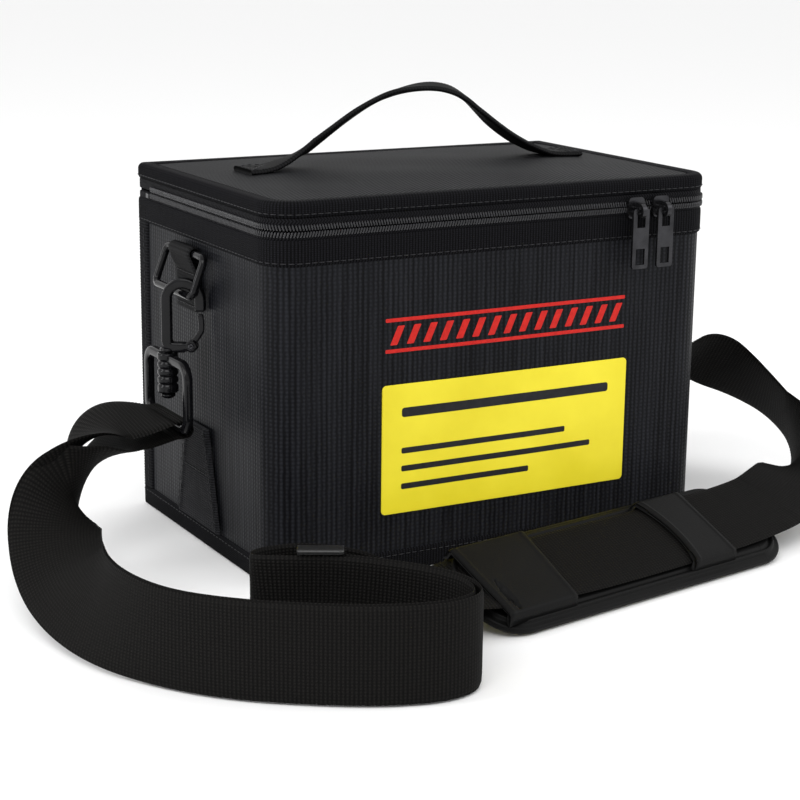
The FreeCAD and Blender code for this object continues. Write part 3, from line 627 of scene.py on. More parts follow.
gusset_loop = tape_loop(BAND_TOP - 0.0004, RIM_FOOT + 0.0012, -0.0010, -0.0003, 9)
for side, start, end in (("right", KNOTS[3] - 0.0006, KNOTS[4] + 0.0006),
                         ("left", GIRTH - KNOTS[4] - 0.0006, GIRTH - KNOTS[3] + 0.0006)):
    gusset = wall_tape(side + "_hinge_gusset", stations(FINE, start, end), gusset_loop, rib=0.0)
    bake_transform(gusset)


# ---- Zip ---------------------------------------------------------------------------------------------
# A size 5 coil zip runs round the front and the two sides. Each half is a herringbone tape with
# nylon coil teeth sewn along the edge that meets the other half.
def zip_tape_finish():
    finish, shader = new_finish("herringbone_tape", 0.68, specular=0.07)
    up = ribs(shader, cloth_coordinate(shader, (1, 1, 1), math.radians(38)), 0.0011, "X")
    down = ribs(shader, cloth_coordinate(shader, (1, 1, 1), math.radians(-38)), 0.0011, "X")
    rows = ribs(shader, cloth_coordinate(shader, (1, 1, 1)), 0.0034, "Y")
    pick = add(shader, "ShaderNodeMath", {0: rows, 1: 0.5}, operation="GREATER_THAN").outputs[0]
    chosen = add(shader, "ShaderNodeMix", {"Factor": pick, "A": up, "B": down}).outputs[0]
    tint(shader, chosen, (0.0006, 0.0006, 0.0009), (0.0085, 0.0085, 0.0105), 0.1, 1.0)
    relief(shader, chosen, 0.0003)
    return finish


def coil_finish():
    finish, shader = new_finish("nylon_coil", 0.22, specular=0.45)
    cloudy = speckle(shader, cloth_coordinate(shader, (700, 700, 700), kind="Object"), 1.0)
    tint(shader, cloudy, (0.004, 0.004, 0.005), (0.016, 0.016, 0.019))
    relief(shader, cloudy, 0.00005)
    return finish


zip_tape = zip_tape_finish()
coil = coil_finish()
ZIP_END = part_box("lower_zip_tape")[1].y
ZIP_S = KNOTS[2] + ZIP_END + HALF_D - FRONT_R
zip_s = stations(0.0012, GIRTH - KNOTS[3], GIRTH + KNOTS[3])
TOOTH_PITCH = 0.0013
MEETING_Z = (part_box("lower_zip_coil")[1].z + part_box("upper_zip_coil")[0].z) / 2


def tooth():
    """One turn of the coil seen from outside: a bead longer than wide, 28 faces."""
    t = np.linspace(-1, 1, 5)
    turn = (np.arange(6) + 0.5) * math.pi / 3
    thick = 0.00056 * np.array([0.7, 0.95, 1.0, 1.0, 0.75])
    x = np.broadcast_to(t[:, None] * 0.00125, (5, 6))
    return grid_part(np.stack([x, thick[:, None] * np.cos(turn), thick[:, None] * np.sin(turn) * 1.2], -1),
                     closed=(False, True), caps=True)


def teeth(name, z, lean, shift):
    """A row of coil teeth along the zip, each leaning along the tape."""
    s = np.arange(GIRTH - ZIP_S + 0.004, GIRTH + ZIP_S - 0.004, TOOTH_PITCH) + shift
    place, normal, _ = around(s, -0.0009)
    flat = np.zeros(len(s))
    centres = np.column_stack([place, flat + z])
    heading = np.column_stack([-normal[:, 1], normal[:, 0], flat])
    along = heading * lean + np.array([0, 0, 1.0])
    return put(name, [repeated(tooth(), centres, along, np.column_stack([normal, flat]))], coil)


def zip_half(side, body, z0, z1, tooth_z, lean, shift):
    loop = tape_loop(z0, z1, -0.0006, 0.0006, 7)
    strip = wall_tape(side + "_zip_cloth", zip_s, loop, rib=0.0)
    strip.data.materials[0] = zip_tape
    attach(strip, body)
    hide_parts(side + "_zip_tape")
    row = teeth(side + "_zip_teeth", tooth_z, lean, shift)
    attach(row, body)
    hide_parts(side + "_zip_coil")


zip_half("lower", "bag", BAND_TOP - 0.0004, MEETING_Z - 0.0003, MEETING_Z - 0.00145, 0.35, 0.0)
zip_half("upper", "lid", MEETING_Z + 0.0003, 0.1588, MEETING_Z + 0.00145, -0.35, TOOTH_PITCH / 2)
use_finish(["zip_end_stops"], coil)


# ---- Front patch -------------------------------------------------------------------------------------
# A flexible plastic film patch is welded to the front cloth. It is plain yellow with a few dark bars.
def film_finish():
    finish, shader = new_finish("yellow_film", 0.42, specular=0.3)
    soft = speckle(shader, cloth_coordinate(shader, (30, 30, 30), kind="Object"), 1.0, 4.0)
    grain = speckle(shader, cloth_coordinate(shader, (2200, 2200, 2200), kind="Object"), 1.0, 1.0)
    tint(shader, soft, (0.72, 0.60, 0.012), (0.84, 0.72, 0.03))
    vary_gloss(shader, soft, 0.34, 0.5)
    relief(shader, grain, 0.00006)
    return finish


def ink_finish(name, dark, light, roughness):
    finish, shader = new_finish(name, roughness, specular=0.2)
    worn = speckle(shader, cloth_coordinate(shader, (400, 400, 400), kind="Object"), 1.0)
    tint(shader, worn, dark, light)
    relief(shader, worn, 0.00008)
    return finish


def rounded_loop(x0, y0, x1, y1, radius, corner=7, step=0.004):
    """A rectangle with round corners, as points counter-clockwise from its lower left side."""
    points = []
    for cx, cy, start in ((x1, y0, -90), (x1, y1, 0), (x0, y1, 90), (x0, y0, 180)):
        middle = np.array([cx - math.copysign(radius, cx - (x0 + x1) / 2),
                           cy - math.copysign(radius, cy - (y0 + y1) / 2)])
        angle = np.radians(start + np.linspace(0, 90, corner))
        arc = middle + radius * np.column_stack([np.cos(angle), np.sin(angle)])
        if points:
            count = max(int(np.linalg.norm(arc[0] - points[-1]) / step), 1)
            points.extend(points[-1] + (arc[0] - points[-1]) * k / count for k in range(1, count))
        points.extend(arc)
    count = max(int(np.linalg.norm(points[0] - points[-1]) / step), 1)
    points.extend(points[-1] + (points[0] - points[-1]) * k / count for k in range(1, count))
    return np.array(points)


def plate_part(outline, levels):
    """A solid plate: the outline is repeated at each level (inset, height) and both ends are filled.

    Inwards from the first and last levels, the rings shrink in steps to nearly a point in the middle.
    """
    middle = (outline.max(0) + outline.min(0)) / 2
    size = (outline.max(0) - outline.min(0)) / 2
    inwards = [(size * share, levels[-1][1]) for share in (0.25, 0.5, 0.75, 0.999)]
    below = [(inset, levels[0][1]) for inset, _ in inwards[::-1]]
    rings = []
    for inset, height in below + [*levels] + inwards:
        shrink = 1 - inset / size
        rings.append(np.column_stack([middle + (outline - middle) * shrink, np.full(len(outline), height)]))
    return np.stack(rings, 1)


patch_low, patch_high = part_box("front_patch")


def on_front(points, lift=0.0):
    """Plate points drawn on X and Y become X and Z on the bag's front, with their height off the cloth."""
    return on_wall(points[..., 0], points[..., 1], points[..., 2] + lift)


film = film_finish()
outline = rounded_loop(patch_low.x, patch_low.z, patch_high.x, patch_high.z, 0.002)
film_levels = [(0, 0), (0, 0.0003), (0.0002, 0.0005)]
patch_points = on_front(plate_part(outline, film_levels))
patch = put("film_patch", [grid_part(patch_points, closed=(True, False), solid=True)], film, smooth=False)
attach(patch, "bag")
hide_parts("front_patch")

PRINT_LEVELS = [(0, 0), (0, 0.00006)]
dark_ink = ink_finish("dark_ink", (0.006, 0.006, 0.007), (0.014, 0.014, 0.016), 0.5)
bars = []
for z, start, end, height in ((0.0715, -0.0505, 0.0565, 0.0042), (0.0545, -0.0505, 0.0335, 0.0026),
                              (0.0465, -0.0505, 0.0475, 0.0026), (0.0385, -0.0505, 0.0145, 0.0026)):
    shape = rounded_loop(start, z - height / 2, end, z + height / 2, height * 0.3)
    bar_points = on_front(plate_part(shape, PRINT_LEVELS), 0.0005)
    bars.append(grid_part(bar_points, closed=(True, False), solid=True))
patch_bars = put("film_bars", bars, dark_ink, smooth=False)
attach(patch_bars, "bag")


# ---- Red motif ---------------------------------------------------------------------------------------
# Two thin bars with a row of slanted strokes between them, screen printed on the front in red.
motif_low, motif_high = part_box("front_motif")
red_ink = ink_finish("red_ink", (0.42, 0.008, 0.006), (0.58, 0.016, 0.010), 0.55)
strokes = []
for z in (motif_low.z + 0.0008, motif_high.z - 0.0008):
    shape = rounded_loop(motif_low.x, z - 0.0008, motif_high.x, z + 0.0008, 0.0004)
    strokes.append(grid_part(on_front(plate_part(shape, PRINT_LEVELS)), closed=(True, False), solid=True))
STROKES = 15
SLANT = 0.45
for i in range(STROKES):
    x = motif_low.x + 0.004 + (motif_high.x - motif_low.x - 0.0105) * i / (STROKES - 1)
    shape = rounded_loop(x - 0.0017, motif_low.z + 0.0034, x + 0.0017, motif_high.z - 0.0034, 0.0004)
    shape[:, 0] += (shape[:, 1] - motif_low.z) * SLANT - 0.0016
    strokes.append(grid_part(on_front(plate_part(shape, PRINT_LEVELS)), closed=(True, False), solid=True))
motif = put("red_motif", strokes, red_ink, smooth=False)
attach(motif, "bag")
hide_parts("front_motif")


# ---- Lid ---------------------------------------------------------------------------------------------
# The lid is one panel of a finer twill over its foam board, crowned a little, with a narrow cloth rim
# below and a ribbed binding rolled over its edge.
def twill_finish():
    finish, shader = new_finish("lid_twill", 0.6, specular=0.08)
    plain = cloth_coordinate(shader, (1, 1, 1), math.radians(52), "Object")
    twill = ribs(shader, plain, 0.0017, "X", 0.3)
    patches = speckle(shader, cloth_coordinate(shader, (45, 45, 45), kind="Object"), 1.0)
    mixed = weighted(shader, (twill, 0.6), (patches, 0.4))
    tint(shader, mixed, (0.0020, 0.0021, 0.0025), (0.0160, 0.0166, 0.0188), 0.15, 0.9)
    relief(shader, twill, 0.0005)
    return finish


LID_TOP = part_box("lid_top_panel")[1].z
CROWN = 0.0022


def lid_height(x, y):
    """The lid's top: 2.2 mm higher in its middle, with a few very shallow waves."""
    u, v = x / HALF_W, y / HALF_D
    dome = (1 - np.abs(u) ** 2.6) * (1 - np.abs(v) ** 2.6)
    waves = 0.0003 * np.sin(x * 70 + y * 25) * np.sin(y * 80 - x * 15)
    return LID_TOP - 0.0009 + CROWN * dome + waves * dome


lid_sheet = plan_sheet(0.0004, 50, 70, lid_height)
lid_top = put("lid_top_cloth", [grid_part(lid_sheet[::-1], lid_sheet[::-1, :, :2])], twill_finish())
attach(thicken(lid_top, 0.0005), "lid")
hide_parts("lid_top_panel")

RIM_Z = 0.157
rim_s = stations(0.004)[:-1]
rim_z = np.linspace(RIM_FOOT, LID_TOP - 0.001, 10)
grid_s, grid_z = np.meshgrid(rim_s, rim_z, indexing="ij")
rim_place, _, _ = around(grid_s, 0.0002)
front_of_lip = (rim_s > GIRTH - ZIP_S) | (rim_s < ZIP_S)
rim_floor = np.where(front_of_lip, RIM_Z, rim_z[0])
rim_points = np.concatenate([rim_place, np.maximum(grid_z, rim_floor[:, None])[..., None]], -1)
rim_uv = np.stack(np.meshgrid(np.append(rim_s, GIRTH), rim_z, indexing="ij"), -1)
rim = put("lid_rim_cloth", [grid_part(rim_points, rim_uv, closed=(True, False))], wall_finish)
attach(thicken(rim, 0.0007), "lid")
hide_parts("lid_rim")

PIPE_Z = LID_TOP - 0.0066


def lid_binding_section():
    """The binding's section: up the lid's side, rolled over its edge and 7 mm in over the top."""
    turn = np.linspace(0, math.pi / 2, 9)
    side = [(0.0009, PIPE_Z + k) for k in (0.0, 0.0012, 0.0024, 0.0036)]
    roll = [(0.0009 - 0.0026 * (1 - math.cos(a)), LID_TOP - 0.0022 + 0.0026 * math.sin(a)) for a in turn]
    top = [(-0.0036, LID_TOP + 0.0004), (-0.0055, LID_TOP + 0.0002), (-0.0068, LID_TOP)]
    outer = [(out, z, 1.0) for out, z in side + roll + top]
    outer[0] = (0.0004, PIPE_Z, 0.0)
    outer[-1] = (-0.0072, LID_TOP - 0.0006, 0.0)
    inner = [(-0.0060, LID_TOP - 0.0010, 0.0), (-0.0026, LID_TOP - 0.0012, 0.0),
             (-0.0008, LID_TOP - 0.0026, 0.0), (-0.0004, PIPE_Z + 0.0010, 0.0)]
    return np.array(outer + inner)


binding_s = stations(FINE)[:-1]
binding = wall_tape("lid_edge_tape", binding_s, lid_binding_section(), closed=True)
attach(binding, "lid")
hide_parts("lid_binding")
binding_seam = put("lid_stitching", [wall_stitches(0, GIRTH, PIPE_Z + 0.0016, 0.00105)], thread)
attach(binding_seam, "lid")


# ---- Zip sliders and pulls ---------------------------------------------------------------------------
# Two cast sliders in dark nickel close from both ends. Each has a flat pull with two windows.
def metal_finish(name, dark, light, roughness, metallic):
    finish, shader = new_finish(name, roughness, metallic, 0.18)
    cloudy = speckle(shader, cloth_coordinate(shader, (160, 160, 160), kind="Object"), 1.0, 4.0)
    fine = speckle(shader, cloth_coordinate(shader, (1500, 1500, 1500), kind="Object"), 1.0, 2.0)
    tint(shader, cloudy, dark, light)
    vary_gloss(shader, cloudy, roughness * 0.8, roughness * 1.3)
    relief(shader, fine, 0.00003)
    return finish


nickel = metal_finish("dark_nickel", (0.022, 0.022, 0.024), (0.05, 0.05, 0.054), 0.24, 0.85)
edge_nodes = ["left_slider", "right_slider", "left_pull", "right_pull"]
use_finish(edge_nodes, nickel)
for node in edge_nodes:
    softened = frame["nodes"][node].modifiers.new("soft_edges", "BEVEL")
    softened.width = 0.00035
    softened.segments = 3
    softened.limit_method = "ANGLE"
    softened.angle_limit = math.radians(35)


# ---- Cable port flap ---------------------------------------------------------------------------------
# A tapered piece of heavy ribbed webbing covers the cable port. It is sewn down at its bottom edge,
# edge-stitched along both slanted sides, and held at its top by a strip of hook-and-loop.
def flap_finish():
    finish, shader = new_finish("flap_webbing", 0.7, specular=0.09)
    plain = cloth_coordinate(shader, (1, 1, 1))
    upright = ribs(shader, plain, 0.0021, "X", 0.1)
    cross = ribs(shader, plain, 0.0011, "Y", 0.2)
    height = weighted(shader, (upright, 0.25), (cross, 0.75))
    tint(shader, height, (0.003, 0.003, 0.0037), (0.0216, 0.0219, 0.0246), 0.0, 1.0)
    relief(shader, height, 0.0004)
    return finish


flap_low, flap_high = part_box("port_flap")
FLAP_Y = (flap_low.y + flap_high.y) / 2
FLAP_FOOT = (flap_high.y - flap_low.y) / 2
FLAP_HEAD = 0.012
FLAP_BACK = flap_high.x
flap_webbing = flap_finish()
u = np.linspace(-1, 1, 41)
v = np.linspace(0, 1, 61)
grid_u, grid_v = np.meshgrid(u, v, indexing="ij")
flap_half = FLAP_FOOT + (FLAP_HEAD - FLAP_FOOT) * grid_v
edge = (1 - np.abs(grid_u) ** 14) ** 0.5 * np.clip(np.minimum(grid_v, 1 - grid_v) / 0.02, 0, 1) ** 0.5
hem = np.clip((np.abs(grid_u) * flap_half - flap_half + 0.0042) / 0.0012, 0, 1)
cross_dent = -0.0004 * np.exp(-(((flap_low.z + grid_v * (flap_high.z - flap_low.z)) - 0.035) / 0.0009) ** 2)
ribbing = 0.00012 * np.cos(grid_u * flap_half / 0.0021 * 2 * math.pi)
lift_top = 0.0006 * grid_v**3
flap_out = 0.0013 + 0.0005 * hem + cross_dent + ribbing + lift_top
front_x = FLAP_BACK - 0.0001 - (flap_out - 0.0002) * edge
flap_y = FLAP_Y + grid_u * flap_half
flap_z = flap_low.z + grid_v * (flap_high.z - flap_low.z)
flap_front = np.stack([front_x, flap_y, flap_z], -1)
flap_back = np.stack([np.full_like(front_x, FLAP_BACK), flap_y, flap_z], -1)
flap_ring = np.concatenate([flap_front, flap_back[::-1]], 0)
flap_v = np.stack([np.concatenate([grid_u * flap_half, (grid_u * flap_half)[::-1]]),
                   np.concatenate([flap_z, flap_z])], -1)
flap_uv = np.concatenate([flap_v, flap_v[:1]], 0)
flap_uv = np.transpose(flap_uv, (1, 0, 2))
flap_part = grid_part(np.transpose(flap_ring, (1, 0, 2)), flap_uv, closed=(False, True), caps=True)
flap = put("flap_cloth", [flap_part], flap_webbing)
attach(flap, "port_flap")
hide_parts("port_flap")

sewn_x = FLAP_BACK - 0.00195
flap_rows = []
for side in (-1, 1):
    for inset in (0.0018, 0.0036):
        foot = (sewn_x, FLAP_Y + side * (FLAP_FOOT - inset), flap_low.z + 0.002)
        head = (sewn_x - 0.0005, FLAP_Y + side * (FLAP_HEAD - inset), flap_high.z - 0.0015)
        flap_rows.append(straight_stitches(foot, head, (-1, 0, 0)))
cross_rise = (0.035 - flap_low.z) / (flap_high.z - flap_low.z)
half_at_cross = FLAP_FOOT + (FLAP_HEAD - FLAP_FOOT) * cross_rise - 0.004
flap_rows.append(straight_stitches((sewn_x + 0.0004, FLAP_Y - half_at_cross, 0.035),
                                   (sewn_x + 0.0004, FLAP_Y + half_at_cross, 0.035), (-1, 0, 0)))
flap_seams = put("flap_stitching", flap_rows, thread)
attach(flap_seams, "port_flap")
use_finish(["port_flap_fastener"], flap_webbing)


# ---- Rings and their tabs ----------------------------------------------------------------------------
# A welded wire ring hangs on each side in a tab of webbing that is folded over it and sewn down.
def sweep(centres, side, section, closed=False, swell=None, lift=None):
    """Carry a cross-section along a line of centres.

    side is the direction of the section's first axis at each centre, made square to the line. swell
    scales the section at each centre, and lift moves each section point out along the second axis.
    """
    if closed:
        heading = np.roll(centres, -1, 0) - np.roll(centres, 1, 0)
    else:
        heading = np.gradient(centres, axis=0)
    heading /= np.linalg.norm(heading, axis=1, keepdims=True)
    side = np.broadcast_to(side, centres.shape)
    side = side - heading * np.sum(side * heading, 1, keepdims=True)
    side = side / np.linalg.norm(side, axis=1, keepdims=True)
    up = np.cross(heading, side)
    swell = np.ones(len(centres)) if swell is None else swell
    a = section[None, :, 0] * swell[:, None]
    b = section[None, :, 1] * swell[:, None]
    if lift is not None:
        b = b + lift
    return centres[:, None] + a[..., None] * side[:, None] + b[..., None] * up[:, None]


def run_of(centres):
    """Distance along a line of points."""
    return np.concatenate([[0], np.cumsum(np.linalg.norm(np.diff(centres, axis=0), axis=1))])


def even(centres, step):
    """The same line with its points a step apart."""
    run = run_of(centres)
    at = np.linspace(0, run[-1], max(int(run[-1] / step), 2) + 1)
    return np.column_stack([np.interp(at, run, centres[:, k]) for k in range(centres.shape[1])])


def round_section(half_a, half_b, power=2.0, count=20):
    """A rounded cross-section: an ellipse at power 2, and nearer a rectangle at a higher power."""
    turn = (np.arange(count) + 0.5) * 2 * math.pi / count
    c, s = np.cos(turn), np.sin(turn)
    return np.column_stack([half_a * np.sign(c) * np.abs(c) ** (2 / power),
                            half_b * np.sign(s) * np.abs(s) ** (2 / power)])


def bar_ends(centres, reach=0.0009, least=0.55):
    """Swell factors that round off a bar's two ends."""
    run = run_of(centres)
    near = np.clip(np.minimum(run, run[-1] - run) / reach, 0, 1)
    return least + (1 - least) * np.sqrt(1 - (1 - near) ** 2)


def web_section(half, thickness):
    """Webbing's flat cross-section with round edges, and a weight of +1 above and -1 below for ribs."""
    t = np.linspace(-1, 1, 13)
    t = np.sign(t) * (1 - (1 - np.abs(t)) ** 1.3)
    bulge = (1 - np.abs(t) ** 12) ** 0.45
    top = np.column_stack([t * half, bulge * thickness / 2, bulge])
    return np.concatenate([top, (top * [1, -1, -1])[::-1]])


def webbing_part(centres, side, half, thickness, pitch, rib):
    """A length of ribbed webbing along a line: its ribs go across, and UV has run and width."""
    section = web_section(half, thickness)
    run = run_of(centres)
    ribbing = rib * np.cos(run / pitch * 2 * math.pi)[:, None] * section[None, :, 2]
    points = sweep(centres, side, section, lift=ribbing)
    across = np.append(section[:, 0], section[0, 0])
    uv = np.stack(np.meshgrid(np.append(run, run[-1]), across, indexing="ij"), -1)
    return grid_part(points, uv, closed=(False, True), caps=True)


def webbing_finish(name, pitch, dark, light):
    finish, shader = new_finish(name, 0.62, specular=0.07)
    plain = cloth_coordinate(shader, (1, 1, 1))
    across = ribs(shader, plain, pitch, "X", 0.1)
    yarn = ribs(shader, plain, 0.0013, "Y", 0.4)
    lint = speckle(shader, cloth_coordinate(shader, (500, 900, 1)), 1.0)
    crossing = blend_of(shader, "ADD", blend_of(shader, "MULTIPLY", yarn, 0.6), 0.4)
    height = blend_of(shader, "MULTIPLY", across, crossing)
    tint(shader, weighted(shader, (height, 1.0), (lint, 0.35)), dark, light, 0.1, 1.1)
    relief(shader, height, 0.00035)
    return finish


def mirrored(part):
    """The same part on the bag's other side."""
    points, faces, corners = part
    return points * [-1, 1, 1], faces[:, ::-1], corners[:, ::-1]


def both_sides(name, parts, finish, body, nodes, slot, **how):
    """Put a left piece and its mirror image, on bodies and for nodes with left_ or right_ names."""
    for side in ("left", "right"):
        chosen = parts if side == "left" else [mirrored(part) for part in parts]
        piece = put(side + "_" + name, chosen, finish, **how)
        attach(piece, body if body == "bag" else side + "_" + body)
        if nodes:
            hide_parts(*[side + "_" + node for node in nodes])


black_web = webbing_finish("black_webbing", 0.0015, (0.0008, 0.0008, 0.0009), (0.0081, 0.0081, 0.009))
enamel = metal_finish("black_enamel", (0.002, 0.002, 0.0024), (0.005, 0.005, 0.006), 0.13, 0.0)

ring_low, ring_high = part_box("left_d_ring")
RING_R = 0.0017
RING_Y = (ring_low.y + ring_high.y) / 2
RING_HALF = (ring_high.y - ring_low.y) / 2 - RING_R
ring_top = np.array([ring_high.x - RING_R, RING_Y, ring_high.z - RING_R])
ring_bottom = np.array([ring_low.x + RING_R, RING_Y, ring_low.z + RING_R])
drop = ring_bottom - ring_top
ring_outline = rounded_loop(-RING_HALF, -np.linalg.norm(drop), RING_HALF, 0, 0.0032, 9, 0.0015)
down = -drop / np.linalg.norm(drop)
ring_line = ring_top + ring_outline[:, :1] * np.array([0, 1, 0]) + ring_outline[:, 1:] * down
ring_face = np.cross([0, 1, 0], down)
ring_part = grid_part(sweep(ring_line, ring_face, round_section(RING_R, RING_R, 2.0, 16), closed=True),
                      closed=(True, True))
both_sides("ring", [ring_part], enamel, "bag", ["d_ring"], "black_metal")

tab_low, tab_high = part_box("left_ring_tab")
TAB_Y = (tab_low.y + tab_high.y) / 2
TAB_HALF = (tab_high.y - tab_low.y) / 2
TAB_T = 0.0013
TAB_FOLD = RING_R + 0.0002 + TAB_T / 2
turn = np.radians(np.linspace(0, 200, 26))
fold = np.column_stack([ring_top[0] + TAB_FOLD * np.cos(turn), ring_top[2] + TAB_FOLD * np.sin(turn)])
inside = np.array([[-HALF_W - 0.0008, tab_low.z], [-HALF_W - 0.0008, ring_top[2] - 0.006]])
outside = np.array([[-HALF_W - 0.0024, ring_top[2] - 0.009], [-HALF_W - 0.0023, tab_low.z]])
tab_line = np.concatenate([inside, fold, outside])
tab_line = even(np.column_stack([tab_line[:, 0], np.full(len(tab_line), TAB_Y), tab_line[:, 1]]), 0.00035)
tab_part = webbing_part(tab_line, np.array([0, 1.0, 0]), TAB_HALF, TAB_T, 0.0015, 0.00012)
both_sides("tab", [tab_part], black_web, "bag", ["ring_tab"], "webbing")
tab_x = -HALF_W - 0.0024 - TAB_T / 2 - 0.0002
tab_rows = []
for z in (tab_low.z + 0.0022, tab_low.z + 0.0165):
    near, far = TAB_Y - TAB_HALF + 0.002, TAB_Y + TAB_HALF - 0.002
    tab_rows.append(straight_stitches((tab_x, near, z), (tab_x, far, z), (-1, 0, 0)))
both_sides("tab_stitching", tab_rows, thread, "bag", [], "webbing")


# ---- Snap hooks --------------------------------------------------------------------------------------
# A cast hook with a sprung gate holds each ring. Its stem is riveted in the grooved barrel of a wide
# loop, so it swivels, and the loop carries the strap. All of it is gloss black.
for joint in frame["record"]["behaviour"]["joints"]:
    if joint["name"] == "left_hook_swivel":
        SWIVEL = np.array(joint["pos_m"])
HOOK_TURN = math.radians(55)
ACROSS = np.array([math.sin(HOOK_TURN), -math.cos(HOOK_TURN), 0.0])
FACING = np.cross(ACROSS, [0, 0, 1])
HOOK_W = 0.015
HOOK_BAR = 0.0046
HOOK_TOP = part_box("left_hook_frame")[1].z
ARCH_Z = HOOK_TOP - HOOK_BAR / 2 - HOOK_W / 2
FOOT_Z = 0.091


def in_hook(line):
    """Points drawn across and up in the hook's own plane, placed in the frame."""
    line = np.array(line, float)
    return np.array([SWIVEL[0], SWIVEL[1], 0]) + line[:, :1] * ACROSS + line[:, 1:] * np.array([0, 0, 1.0])


def lathe(profile, centre, axis, count=32):
    """Turn a closed outline of (radius, height) round an axis through centre."""
    axis = np.array(axis, float) / np.linalg.norm(axis)
    first = np.cross(axis, [0.3, 0.5, 0.8])
    first /= np.linalg.norm(first)
    second = np.cross(axis, first)
    turn = np.arange(count) * 2 * math.pi / count
    round_about = np.cos(turn)[:, None] * first + np.sin(turn)[:, None] * second
    profile = np.array(profile, float)
    points = centre + profile[None, :, :1] * round_about[:, None] + profile[None, :, 1:] * axis
    return grid_part(points, closed=(True, True))


def tube_profile(inner, outer, low, high, edge=0.0003):
    """The outline of a short tube or washer with bevelled outer edges."""
    return [(inner, low), (outer - edge, low), (outer, low + edge),
            (outer, high - edge), (outer - edge, high), (inner, high)]


arch = np.linspace(math.pi, 0, 25)
hook_line = np.concatenate([
    [(0.0085, FOOT_Z + 0.002), (0.0023, FOOT_Z + 0.002), (0.0008, FOOT_Z + 0.0027), (0, FOOT_Z + 0.0045)],
    [(0, ARCH_Z - 0.001)],
    np.column_stack([HOOK_W / 2 + HOOK_W / 2 * np.cos(arch), ARCH_Z + HOOK_W / 2 * np.sin(arch)]),
    [(HOOK_W, ARCH_Z - 0.005)],
])
hook_line = even(in_hook(hook_line), 0.0006)
hook_bar = grid_part(sweep(hook_line, FACING, round_section(HOOK_BAR / 2, HOOK_BAR / 2, 4.5, 28),
                           swell=bar_ends(hook_line)), closed=(False, True), caps=True)
PIN_AT = in_hook([(HOOK_W - 0.004, FOOT_Z + 0.0026)])[0]
ears = [lathe(tube_profile(0.0009, 0.0026, low, low + 0.0012), PIN_AT, FACING) for low in (-0.0023, 0.0011)]
webs = []
for low in (-0.0017, 0.0017):
    web = in_hook([(HOOK_W - 0.0095, FOOT_Z + 0.002), (HOOK_W - 0.0049, FOOT_Z + 0.0024)])
    web = sweep(even(web + FACING * low, 0.0005), FACING, round_section(0.0006, 0.0018, 4.0, 12))
    webs.append(grid_part(web, closed=(False, True), caps=True))
axis_at = np.array([SWIVEL[0], SWIVEL[1], 0])
UP = np.array([0, 0, 1.0])
stem = lathe(tube_profile(0.0004, 0.002, 0.0705, FOOT_Z + 0.001), axis_at, UP, 24)
collar = lathe(tube_profile(0.0005, 0.0034, FOOT_Z - 0.0001, FOOT_Z + 0.0016, 0.0005), axis_at, UP)
RIVET = [(0.0004, 0.070), (0.0022, 0.0700), (0.0032, 0.0708), (0.0032, 0.072), (0.0004, 0.072)]
hook_parts = [hook_bar, *ears, *webs, stem, collar, lathe(RIVET, axis_at, UP)]
both_sides("snap_hook", hook_parts, enamel, "hook", ["hook_frame"], "black_metal")

pin = lathe(tube_profile(0.0001, 0.0008, -0.0023, 0.0023, 0.0002), PIN_AT, FACING, 16)
heads = [lathe(tube_profile(0.0001, 0.0014, low, low + 0.0004, 0.0002), PIN_AT, FACING, 20)
         for low in (-0.0026, 0.0022)]
both_sides("hook_pin", [pin, *heads], nickel, "hook", ["gate_pin"], "black_metal")

tip_z = ARCH_Z - 0.005 - 0.0011
lever = np.array([(0.0118, 0.0955), (0.0137, 0.0978), (0.0153, 0.1005), (0.0154, 0.1040), (0.0149, tip_z)])
gate_line = even(in_hook(lever), 0.0006)
gate_section = round_section(0.00095, 0.0013, 3.5, 18)
gate_bar = sweep(gate_line, FACING, gate_section, swell=bar_ends(gate_line, 0.0006))
gate_parts = [
    grid_part(gate_bar, closed=(False, True), caps=True),
    lathe(tube_profile(0.001, 0.002, -0.00095, 0.00095), PIN_AT, FACING, 32),
]
both_sides("gate", gate_parts, enamel, "gate", ["hook_gate"], "black_metal")

eye_low, eye_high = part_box("left_swivel_eye")
EYE_Y = (eye_low.y + eye_high.y) / 2
EYE_HALF = (eye_high.y - eye_low.y) / 2 - 0.002
EYE_CORNER = 0.0062
top_z, bottom_z = eye_high.z - 0.0025, eye_low.z + 0.0022
bend = np.linspace(0, math.pi / 2, 9)
corner_y = EYE_HALF - EYE_CORNER
corner_top, corner_bottom = top_z - EYE_CORNER, bottom_z + EYE_CORNER
half_eye = np.concatenate([
    [(0.0026, top_z)],
    np.column_stack([corner_y + EYE_CORNER * np.sin(bend), corner_top + EYE_CORNER * np.cos(bend)]),
    np.column_stack([corner_y + EYE_CORNER * np.cos(bend), corner_bottom - EYE_CORNER * np.sin(bend)]),
])
eye_line = np.concatenate([half_eye, (half_eye * [-1, 1])[::-1]])
eye_line = np.column_stack([np.full(len(eye_line), SWIVEL[0]), EYE_Y + eye_line[:, 0], eye_line[:, 1]])
eye_line = even(eye_line, 0.0009)
eye_bar = grid_part(sweep(eye_line, np.array([1.0, 0, 0]), round_section(0.002, 0.00215, 3.5, 24)),
                    closed=(False, True), caps=True)
grooved = [(0.0022, 0.0726), (0.0042, 0.0726)]
for z in np.linspace(0.0731, 0.0900, 60):
    dip = sum(0.0006 * math.exp(-((z - groove) / 0.0006) ** 2) for groove in (0.0765, 0.080, 0.0835, 0.0868))
    grooved.append((0.0046 - dip, z))
grooved += [(0.0042, 0.0905), (0.0022, 0.0905)]
barrel = lathe(grooved, np.array([SWIVEL[0], EYE_Y, 0]), UP, 40)
both_sides("swivel_loop", [eye_bar, barrel], enamel, "bag", ["swivel_eye"], "black_metal")


